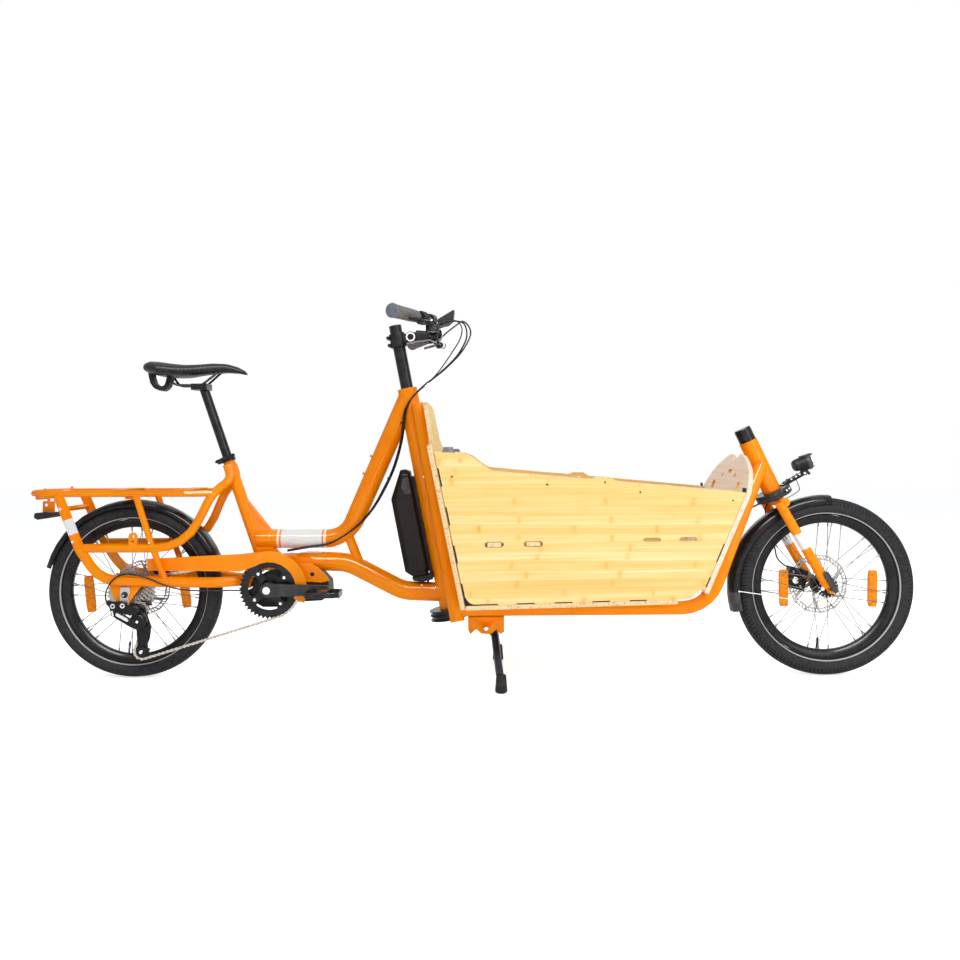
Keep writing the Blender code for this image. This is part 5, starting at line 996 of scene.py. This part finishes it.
def make_saddle():
    """Padded shell with a dished top, a skirt and the tail handle."""
    points = []
    for i in range(SADDLE_STATIONS + 1):
        points += saddle_section((1 - math.cos(math.pi * i / SADDLE_STATIONS)) / 2)
    shell = points, skin(SADDLE_STATIONS + 1, SADDLE_AROUND)
    cushion = item("saddle_cushion", [shell], SADDLE_COVER, "seat", 70, "saddle")
    rounder = cushion.modifiers.new("rounder", "SUBSURF")
    rounder.levels = 1
    rounder.render_levels = 1
    handle = item("saddle_handle", [band(HANDLE_OUTER, HANDLE_INNER, 16.5)], BLACK_PLASTIC, "seat", 40)
    bevelled(handle, 2.4, 3)


def band(outer, inner, half):
    """An open band between two lines of the same count, in (X, Z)."""
    outline = outer + inner[::-1]
    total = len(outline)
    points = [(x, y, z) for y in (-half, half) for x, z in outline]
    faces = skin(2, total, caps=False)
    for i in range(len(outer) - 1):
        quad = (i, i + 1, total - 2 - i, total - 1 - i)
        faces += [quad, tuple(total + k for k in quad)]
    return points, faces


BAR_INNER = Vector((-148, -215, 1013))
BAR_OUTER = Vector((-206, -334, 1011))


def bar_point(share):
    return BAR_INNER.lerp(BAR_OUTER, share)


def mirrored(solid):
    return [Vector((p[0], -p[1], p[2])) for p in solid[0]], solid[1]


def make_grips():
    start, end = bar_point(0.06), bar_point(1.03)
    length = (end - start).length
    profile = [(0, 11.6), (0, 14.2), (3.5, 15.4), (7.0, 14.6)]
    for k in range(46):
        at = 8 + (length - 22) * k / 45
        share = at / length
        swell = 15.4 + 1.4 * math.sin(share * math.pi) + 2.4 * max(0.0, share - 0.62) / 0.38
        profile.append((at, swell + (0.45 if k % 2 else -0.25)))
    profile += [(length - 11, 18.4), (length - 8, 18.4)]
    grip = turned(profile, start, end - start, 32)
    cap_profile = [(-8.5, 17.0), (-8.5, 19.0), (-4, 19.2), (-1, 17.5), (0, 13.0), (0.6, 5.0)]
    cap = turned([(length + along, radius) for along, radius in cap_profile], start, end - start, 36)
    item("grip_near_cap", [cap], GRIP_CAP, "bars", 40)
    item("grip_far_cap", [mirrored(cap)], GRIP_CAP, "bars", 40)
    item("grip_near_rubber", [grip], GRIP_RUBBER, "bars", 40, "grip_near")
    item("grip_far_rubber", [mirrored(grip)], GRIP_RUBBER, "bars", 40, "grip_far")


# Cables


NEAR_LOOP = (
    (-112, -150, 997), (-92, -140, 1008), (-60, -118, 1017), (-28, -92, 1014), (-20, -70, 982), (-34, -52, 950),
    (-58, -43, 918), (-102, -38, 877), (-145, -36.5, 842), (-176, -36, 812), (-193, -35.5, 788), (-203, -35, 760),
    (-211, -36, 690), (-233, -36, 610), (-263, -36, 545), (-295, -35.5, 490), (-331, -35, 448), (-373, -35, 414),
    (-421, -35, 388), (-481, -34.5, 378), (-540, -34, 368),
)
OUTER_LOOP = (
    (-112, 150, 998), (-80, 118, 1022), (-56, 70, 1032), (-33, 20, 1038), (-14, -14, 1016), (-10, -34, 990),
    (-24, -40, 958), (-48, -38, 926), (-92, -36.5, 884), (-138, -35.5, 850), (-170, -35, 820), (-188, -34, 794),
    (-198, -33, 762), (-207, -33.5, 690), (-228, -34, 612), (-258, -34, 546), (-290, -33.5, 492), (-326, -33, 450),
    (-368, -33, 417), (-418, -33, 391), (-480, -32.5, 381), (-540, -32.5, 371),
)
GEAR_ROUTE = (
    (-656.8, -36, 254), (-672, -46, 256), (-700, -52, 258), (-740, -62, 258), (-790, -80, 262), (-830, -94, 268),
    (-870, -99, 280), (-910, -99, 297), (-948, -99, 309), (-980, -99, 312), (-1008, -99, 302), (-1028, -98, 280),
    (-1038, -96, 254), (-1036, -93, 232), (-1025, -88, 219.5),
)
DISPLAY_ROUTE = (
    (-70, -62, 1022), (-50, -66, 1026), (-34, -62, 1006), (-40, -52, 975), (-62, -44, 940), (-86, -40, 905),
    (-112, -38, 872), (-150, -37.5, 838), (-180, -37, 808),
)


def make_cables():
    loops = [cable(NEAR_LOOP, 2.3), cable(OUTER_LOOP, 2.4), cable(DISPLAY_ROUTE, 1.7)]
    bent = item("control_cable_loops", loops, CABLE_BLACK, None, 60, "control_cables")
    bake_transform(bent)
    item("gear_cable_loop", [cable(GEAR_ROUTE, 2.1)], CABLE_BLACK, "frame", 60, "gear_cable")
    ties = []
    for x, z, lean in ((-245, 580, 55), (-312, 470, 50), (-206, 738, 80)):
        ax, az = polar(1.0, lean)
        tie = [(-2.2, 5.0), (-2.2, 7.4), (2.2, 7.4), (2.2, 5.0)]
        ties.append(turned(tie, (x, -35, z), (-ax, 0, az), 14, closed=True))
    item("cable_ties", ties, BLACK_PLASTIC, "frame")


# Cargo box details


PANEL_FOOT = 250.3
STRIP = 3.2
BOX_HALF_WIDTH = 275.0
SIDE_TAPER = 0.148
SIDE_FLARE = 0.202


def half_width(x, z):
    return BOX_HALF_WIDTH - SIDE_TAPER * (x + 24.0) + SIDE_FLARE * (z - 253.0)


def rear_edge(z):
    return -22.4 - COLUMN_LEAN * (z - 250.0)


def front_edge(z):
    return 626.2 + FRONT_LEAN * (z - 276.0)


def edge_strip(edge, low, high, near, far):
    """The outline of a strip along a leaning edge, from near to far beside it."""
    return [(edge(low) + near, low), (edge(low) + far, low), (edge(high) + far, high), (edge(high) + near, high)]


def on_panel(outline, side, low, high):
    """A prism of an (X, Z) outline between two depths inside a side panel's outer face."""
    origin = Vector((0, side * half_width(0, 0), 0))
    along = Vector((1, side * (half_width(1, 0) - half_width(0, 0)), 0))
    up = Vector((0, side * (half_width(0, 1) - half_width(0, 0)), 1))
    inward = along.cross(up).normalized()
    if inward.y * side > 0:
        inward = -inward
    points = [origin + along * x + up * z + inward * depth for depth in (low, high) for x, z in outline]
    return points, skin(2, len(outline))


def make_box_details():
    """Dark joint strips, corner gap, plugs, screws, pads and catches of the box."""
    strips = []
    plugs = []
    screws = []
    catches = []
    foot, lip = PANEL_FOOT, PANEL_FOOT + STRIP
    for side in SIDES:
        for k in range(3):
            z = 338 + 299 * (k + 0.5) / 3
            strips.append(on_panel(edge_strip(rear_edge, z - 23, z + 23, 0, STRIP), side, 0.6, 11.5))
        for k in range(4):
            x = 84 + 407 * (k + 0.5) / 4
            strips.append(on_panel([(x - 24, foot), (x + 24, foot), (x + 24, lip), (x - 24, lip)], side, 0.6, 11.5))
        corner = [(rear_edge(310), 310), (rear_edge(274), 274), (rear_edge(foot), foot), (62, foot), (62, lip),
                  (-1, lip), (-10, 256.5), (-16, 262), (rear_edge(274) + STRIP, 274), (rear_edge(310) + STRIP, 310)]
        strips.append(on_panel(corner, side, 0.6, 10.0))
        for low, high in ((284, 312), (353, 402)):
            strips.append(on_panel(edge_strip(front_edge, low, high, -3.4, 0), side, -0.4, 1.0))
        plugs.append(on_panel(edge_strip(front_edge, 314, 540, -1.8, 0), side, -0.25, 1.0))
        plugs.append(on_panel(circle(6.5, 18, -34, 630), side, -0.5, 2.0))
        catches.append(on_panel([(-78, 650), (-47, 649), (-51, 662), (-74, 662)], side, 1.0, 11.0))
        strips.append(on_panel([(719, 541.5), (726, 541), (726, 552), (719, 552)], side, 2.0, 10.0))
        for x, z in ((-55, 589), (188, 567), (435, 545), (690, 520)):
            screws.append(on_panel(circle(2.9, 12, x, z), side, 2.2, 9.0))
    item("joint_strips", strips, BLACK_PLASTIC, "frame", 40)
    item("box_plugs", plugs, PLUG_BROWN_AND_HOLE_SHADE, "frame", 40)
    item("box_catches", catches, PAD_GREY, "frame", 40)
    item("box_screws", screws, BLACK_METAL, "frame", 40)


# Front end details


LAMP_AXIS = Vector((0.956, 0, 0.292)).normalized()
LAMP_REAR = Vector((933, 0, 608))


def make_headlight():
    barrel = [(-1.0, 3.0), (-1.0, 12.0), (2.0, 15.5), (8.0, 17.5), (14.0, 18.2), (14.0, 17.2), (17.0, 17.2),
              (17.0, 18.8), (21.0, 19.2), (21.0, 18.2), (24.0, 18.2), (24.0, 19.8), (28.0, 20.2), (28.0, 19.2),
              (31.0, 19.2), (31.0, 20.8), (50.0, 21.8), (50.0, 17.0)]
    up = Vector((-LAMP_AXIS.z, 0, LAMP_AXIS.x))
    visor = box(LAMP_REAR + LAMP_AXIS * 43 + up * 20.5, (32, 26, 3), LAMP_AXIS, up)
    ear = box((963, 0, 592), (17, 11, 20))
    tab = tube(LAMP_REAR + LAMP_AXIS * 27 - up * 10, LAMP_REAR + LAMP_AXIS * 39 - up * 36, 4.6, 14, 3.6)
    shell = [turned(barrel, LAMP_REAR, LAMP_AXIS, 36), visor, ear, tab]
    item("headlight_shell", shell, BLACK_PLASTIC, "lamp", 35, "headlight")
    lens = [(53.0, 18.6), (57.5, 16.5), (60.5, 9.0), (61.5, 0.4)]
    item("headlight_lens", [turned(lens, LAMP_REAR, LAMP_AXIS, 36)], CLEAR_LENS, "lamp", 60)
    bezel = [(37.0, 21.0), (37.0, 22.2), (39.0, 22.8), (49.0, 23.0), (50.5, 22.2), (50.5, 20.6)]
    chrome = [(50.0, 19.0), (50.0, 21.6), (55.5, 21.2), (55.5, 18.6)]
    for name, profile, sides, material in (("bezel", bezel, 48, GREY_PLASTIC), ("ring", chrome, 36, SILVER)):
        solid = turned(profile, LAMP_REAR, LAMP_AXIS, sides, closed=True)
        item("headlight_" + name, [solid], material, "lamp", 40)


def make_lamp_arm():
    """Bolts of the lamp's arm, the pulley's rim and the lamp's wire."""
    heads = []
    for x, z in ((922.8, 570.3), (936.3, 577.9), (946.3, 584.5)):
        heads += bolt_pair(x, 12, z, 2.8, 1.8)
    for turn in (-44, -60, 44, 60):
        ahead, aside = polar(52.2, turn)
        radial = HEAD_AHEAD * ahead + Vector((0, aside, 0))
        heads.append(bolt(FRONT_PULLEY + radial, radial, 3.4, 2.0))
    item("lamp_arm_bolts", heads, SILVER, "front_fork")
    item("lamp_pivot_bolts", bolt_pair(962, 12, 588, 4.2, 2.4), SILVER, "front_fork")
    rim = [(-11.5, 34), (-11.5, 50.5), (-9.5, 52.3), (-2.5, 52.3), (-1.6, 50.6), (1.6, 50.6), (2.5, 52.3),
           (8.5, 52.3), (10.5, 50.5), (10.5, 34)]
    item("front_pulley_rim", [turned(rim, FRONT_PULLEY, HEAD_UP, 64, closed=True)], GRAPHITE, "front_fork", 30)
    wire = [(938, -4, 575), (943, -5, 560), (949, -5, 541), (938, -4, 529.5), (915, -3, 516.5), (896, -2, 510)]
    item("lamp_wire", [cable(wire, 1.2, 6)], CABLE_BLACK, "front_fork", 60)


def make_fender_stays():
    stays = []
    eyes = []
    for side in SIDES:
        wide = 0 if side < 0 else 7
        stay = [(762, 33, 248), (800, 38, 243), (850, 44 + wide, 236), (893, 50 + wide, 229), (930, 56 + wide, 224),
                (958, 60 + wide, 230), (978, 64 + wide / 2, 246), (991, 65, 259)]
        stays.append(cable([(x, side * y, z) for x, y, z in stay], 1.8, 8))
        eye = [(-2, 2.4), (-2, 5.4), (2, 5.4), (2, 2.4)]
        eyes.append(turned(eye, (991, side * 67, 260), (0, 1, 0), 18, closed=True))
    eyes += bolt_pair(991, 69, 260, 4.2, 3.0) + bolt_pair(763, 33.4, 248, 3.4, 2.2)
    item("fender_stays", stays, STAY_STEEL, "front_fork", 60)
    item("fender_stay_bolts", eyes, SILVER, "front_fork", 40)


def make_front_brake():
    """Hose, caliper covers and their bolts."""
    hose = [(875, 50, 497), (868, 52, 480), (874, 55, 450), (886, 58, 410), (899, 60, 362), (906, 60, 333),
            (926, 57, 312), (946, 50, 304)]
    item("front_hose", [cable(hose, 2.2)], CABLE_BLACK, "front_fork", 60)
    body = [(-25, -27), (-9, -31), (18, -29), (27, -14), (27, 16), (15, 31), (-13, 29), (-27, 12)]
    out = Vector((math.cos(math.radians(166)), 0, math.sin(math.radians(166))))
    way = Vector((-out.z, 0, out.x))
    at = FRONT_HUB + out * 68

    def spot(u, v, y):
        return at + out * u + way * v + Vector((0, y, 0))

    shells = [prism(body, at, out, way, -60, -47.5), prism(body, at, out, way, -39.5, -32)]
    bevelled(item("front_caliper_covers", shells, BLACK_METAL, "front_fork", 35), 1.6)
    fittings = [turned([(-2, 9.5), (1.5, 9.5), (2.5, 8.0)], spot(4, 6, 30.5), (0, -1, 0), 24)]
    fittings += [bolt(spot(u, v, 31.5), (0, -1, 0), 3.4, 3.0) for u, v in ((16, -18), (-14, 20), (-16, -14))]
    fittings.append(tube(spot(0, 33, 45), spot(0, 26, 45), 4.0, 12))
    item("front_caliper_bolts", fittings, SILVER, "front_fork", 40)


# Battery, derailleur and frame hardware


BATTERY_FOOT = Vector((-130.5, 0, 299.05))


def layered(layers, origin, first, second):
    """A closed solid of outlines of one count at rising depths along the Y axis."""
    points = [origin + first * u + second * v + Vector((0, y, 0)) for y, outline in layers for u, v in outline]
    return points, skin(len(layers), len(layers[0][1]))


def make_battery():
    full = [(0, 8), (0, 304), (-14, 312), (-26, 312), (-68, 234), (-68, 20), (-46, 0), (-8, 0)]
    face = [(-4, 24), (-4, 294), (-13, 297), (-24, 297), (-53, 231), (-53, 28), (-40, 18), (-9, 18)]
    shell = layered([(-42, face), (-28, full), (28, full), (42, face)], BATTERY_FOOT, COLUMN_AHEAD, COLUMN_UP)
    case = item("battery_shell", [shell], BATTERY_CASE, "battery_pack", 25, "battery")
    bevelled(case, 2.6, 3, 20)
    grip = [(-6, 240), (-6, 288), (-22, 288), (-32, 262), (-24, 240)]
    grips = [prism(grip, BATTERY_FOOT, COLUMN_AHEAD, COLUMN_UP, *ends) for ends in ((-42.6, -40), (40, 42.6))]
    bevelled(item("battery_grip", grips, GREY_PLASTIC, "battery_pack", 25), 1.0)
    lead = [(-133, 0, 292), (-134, 0, 284), (-137, 0, 270)]
    item("battery_lead", [cable(lead, 3.2)], CABLE_BLACK, "frame", 60)


def long_plate(a, b, radius):
    """Outline with round ends about two points in (X, Z)."""
    lean = math.degrees(math.atan2(b[1] - a[1], b[0] - a[0]))
    return arc(radius, lean - 90, 22.5, 9, *b) + arc(radius, lean + 90, 22.5, 9, *a)


CAGE_SPINE = [(-958, 200), (-938, 184), (-929, 158), (-933, 128), (-942, 104)]


def cage_outline(half):
    """The cage's outer plate: a curved strip about its spine."""
    left = []
    right = []
    for i, (x, z) in enumerate(CAGE_SPINE):
        before, after = CAGE_SPINE[max(i - 1, 0)], CAGE_SPINE[min(i + 1, len(CAGE_SPINE) - 1)]
        way = Vector((after[0] - before[0], after[1] - before[1])).normalized()
        left.append((x + way.y * half, z - way.x * half))
        right.append((x - way.y * half, z + way.x * half))
    return left + right[::-1]


def make_derailleur():
    """Hanger plate and outer covers of the gear mechanism over its plain solid."""
    hanger = [(-1002, 273), (-975, 274), (-976, 251), (-981, 243), (-978, 232), (-981, 218), (-990, 213),
              (-1000, 217), (-1003, 230), (-1004, 248)]
    bevelled(item("hanger_plate", [plate(hanger, -83.4, -78.0)], HANGER_GREY, "frame", 30), 1.2)
    covers = [
        plate(long_plate((-1018, 221), (-991, 222), 12), -96, -86),
        plate([(-1036, 237), (-1018, 233), (-1006, 222), (-1014, 208), (-1026, 216), (-1038, 226)], -95, -86),
        plate([(-1026, 214), (-1012, 212), (-1004, 196), (-1010, 189), (-1022, 193)], -97, -88),
        plate(long_plate((-1006, 196), (-962, 170), 10), -98, -90),
        turned([(72, 14), (72, 21), (76, 24), (86, 24), (92, 19), (94, 9)], (-951, 0, 176), (0, -1, 0), 32),
        plate(cage_outline(9.5), -71.5, -66.4),
        plate(circle(14, 18, -949, 86), -71.5, -66.4),
        turned([(80, 7.5), (86, 7.5), (88, 5.0)], (-991, 0, 250), (0, -1, 0), 24),
    ]
    bevelled(item("derailleur_covers", covers, BLACK_GLOSS, "frame", 30), 1.2)
    washer = [(-1.0, 4.2), (-1.0, 7.2), (1.6, 6.8), (1.6, 3.6)]
    silver = [turned(washer, (x, -96, z), (0, -1, 0), 24, closed=True) for x, z in ((-1018, 221), (-990.5, 222))]
    for x, y, z, radius in ((-991, -88, 250, 2.8), (-951, -94, 176, 4.2), (-949, -71.5, 86, 4.8)):
        silver.append(bolt((x, y, z), (0, -1, 0), radius, 2.0))
    silver.append(plate([(-1007, 203), (-976, 187), (-972, 180), (-978, 178), (-1009, 195)], -99.4, -97.8))
    silver.append(plate(long_plate((-1019, 206), (-1017, 196), 2.4), -98.4, -96))
    item("derailleur_bolts", silver, SILVER, "frame", 40)


FRAME_BOLTS = ((-1166, 91.5, 495, 5.0, 3.2), (-1130, 94.5, 402, 4.6, 3.2), (32, 133, 163, 6.2, 3.0),
               (-948, 80, 494, 3.6, 3.0), (-914, 94, 399, 3.6, 3.0))
GROMMETS = ((-146.6, -28.2, 581), (-90.7, -28.2, 288), (-82.9, -28.2, 247.6), (-153, -27.4, 268), (-113.5, -27.4, 262))


def make_hardware():
    """Small bolts and bosses on the frame, motor and stem."""
    item("frame_bolts", [head for row in FRAME_BOLTS for head in bolt_pair(*row)], SILVER, "frame", 40)
    dots = [bolt(at, (0, -1, 0), 2.4, 1.2, False) for at in GROMMETS]
    item("frame_grommets", dots, SILVER, "frame", 40)
    dark = [bolt((-466, -45, 303), (0, -1, 0), 6.0, 2.4), bolt((-508, -45, 326), (0, -1, 0), 4.6, 1.6)]
    item("motor_cover_bolts", dark, BLACK_METAL, "frame", 40)
    item("stem_pivot_bolts", bolt_pair(-184, 20, 987, 6.4, 3.0), BLACK_METAL, "bars", 40)
    washer = [(-1.0, 9.0), (1.8, 9.4), (1.8, 13.4), (-1.0, 13.8)]
    rings = [turned(washer, (-184, side * 20, 987), (0, side, 0), 32, closed=True) for side in SIDES]
    item("stem_pivot_rings", rings, STEEL, "bars", 40)


# Handlebar details


BAR_ALONG = (BAR_OUTER - BAR_INNER).normalized()


def clamp(centre, half, outer, axis=BAR_ALONG, sides=28, inner=11.4):
    """A plain ring round the bar."""
    profile = [(-half, inner), (-half, outer), (half, outer), (half, inner)]
    return turned(profile, centre, axis, sides, closed=True)


def make_display():
    wedge = [(-104.5, 1024.5), (-54.5, 1054.5), (-58, 1027), (-72, 1015), (-89, 1011.5)]
    case = [plate(wedge, -90, -34), clamp((-116, -64, 997), 7, 17.5, (0, 1, 0), inner=11.6),
            tube((-108, -64, 1008), (-90, -64, 1018), 6.5, 14)]
    bevelled(item("display_case", case, BLACK_PLASTIC, "bars", 30, "display"), 1.6)
    slope = Vector((50, 0, 30)).normalized()
    up = Vector((-slope.z, 0, slope.x))
    glass = box(Vector((-79.5, -62, 1039.5)) + up * 0.6, (50, 48, 1.6), slope, up)
    item("display_glass", [glass], SCREEN, "bars", 30)


def make_controls():
    """Brake masters on both sides, and the shifter's body on the near one."""
    drop = Vector((30, -6, -16)).normalized()
    normal = BAR_ALONG.cross(drop).normalized()
    perch = bar_point(-0.16)
    master = [(-11, 11.4), (-11, 17.2), (-9, 18.4), (9, 18.4), (11, 17.2), (11, 11.4)]
    lever = perch + drop * 19
    solids = [
        turned(master, perch, BAR_ALONG, 28, closed=True),
        box(perch + drop * 17 - BAR_ALONG * 8, (17, 46, 15), drop, normal),
        tube(lever - BAR_ALONG * 30, lever - BAR_ALONG * 42, 6.0, 14, 4.2),
    ]
    bevelled(item("brake_master_near", solids, BLACK_PLASTIC, "bars", 30), 1.4)
    bevelled(item("brake_master_far", [mirrored(solid) for solid in solids], BLACK_PLASTIC, "bars", 30), 1.4)
    pod = bar_point(-0.52)
    barrel = [(-10, 3), (-10, 14), (-6, 18.5), (8, 18.5), (11, 15), (12, 3)]
    shifter = [clamp(pod, 9, 17.0), turned(barrel, pod + Vector((6, 0, -22)), (0, 0, 1), 28),
               tube(pod + Vector((20, 2, -20)), pod + Vector((34, 6, -16)), 4.4, 12, 3.2)]
    bevelled(item("shifter_body", shifter, GREY_PLASTIC, "bars", 30), 1.0)


def make_bell():
    bell = [
        turned([(-6, 3), (-6, 10), (0, 11.5), (5, 8.5), (7.5, 1.0)], (-97, -62, 955), (0.45, 0, -0.89), 24),
        tube((-109, -60, 985), (-100, -62, 961), 3.4, 10),
        cable([(-92, -62, 950), (-86, -62, 948), (-81, -62, 954), (-82, -62, 962)], 1.3, 6),
        clamp((-113, -46, 995), 6, 14.0, (0, 1, 0), 24, 11.3),
    ]
    item("bell", bell, BLACK_METAL, "bars", 35)


def make_bar_hardware():
    """Pivot pins of the brake levers, and the rings that hold the cables."""
    pins = [bolt((-112.85, side * 214.5, 1003.5), (-0.42, 0.22 * side, 0.88), 3.8, 2.4) for side in SIDES]
    item("lever_pins", pins, SILVER, "bars", 40)
    across, up = Vector((0.75, 0, 0.66)), Vector((-0.2, 0.95, 0.2))
    rings = []
    for x, z, radius in ((-137, 848, 9.5), (-143, 842, 11.0)):
        loop = ring(Vector((x, -37, z)), across, up, radius, 12)
        rings.append(cable(loop + loop[:1], 0.8, 6, 3))
    item("cable_rings", rings, SILVER, "bars", 60)


def main():
    make_camera()
    make_studio()
    make_floor()
    keep_nodes()
    keep_panels()
    make_wheel("rear", REAR_HUB, 52.0, 82.0)
    make_wheel("front", FRONT_HUB, 43.5, 88.0)
    make_chainring()
    make_cassette()
    make_chain()
    make_saddle()
    make_grips()
    make_cables()
    make_pedals()
    make_box_details()
    make_headlight()
    make_lamp_arm()
    make_fender_stays()
    make_front_brake()
    make_battery()
    make_derailleur()
    make_hardware()
    make_display()
    make_controls()
    make_bell()
    make_bar_hardware()


main()
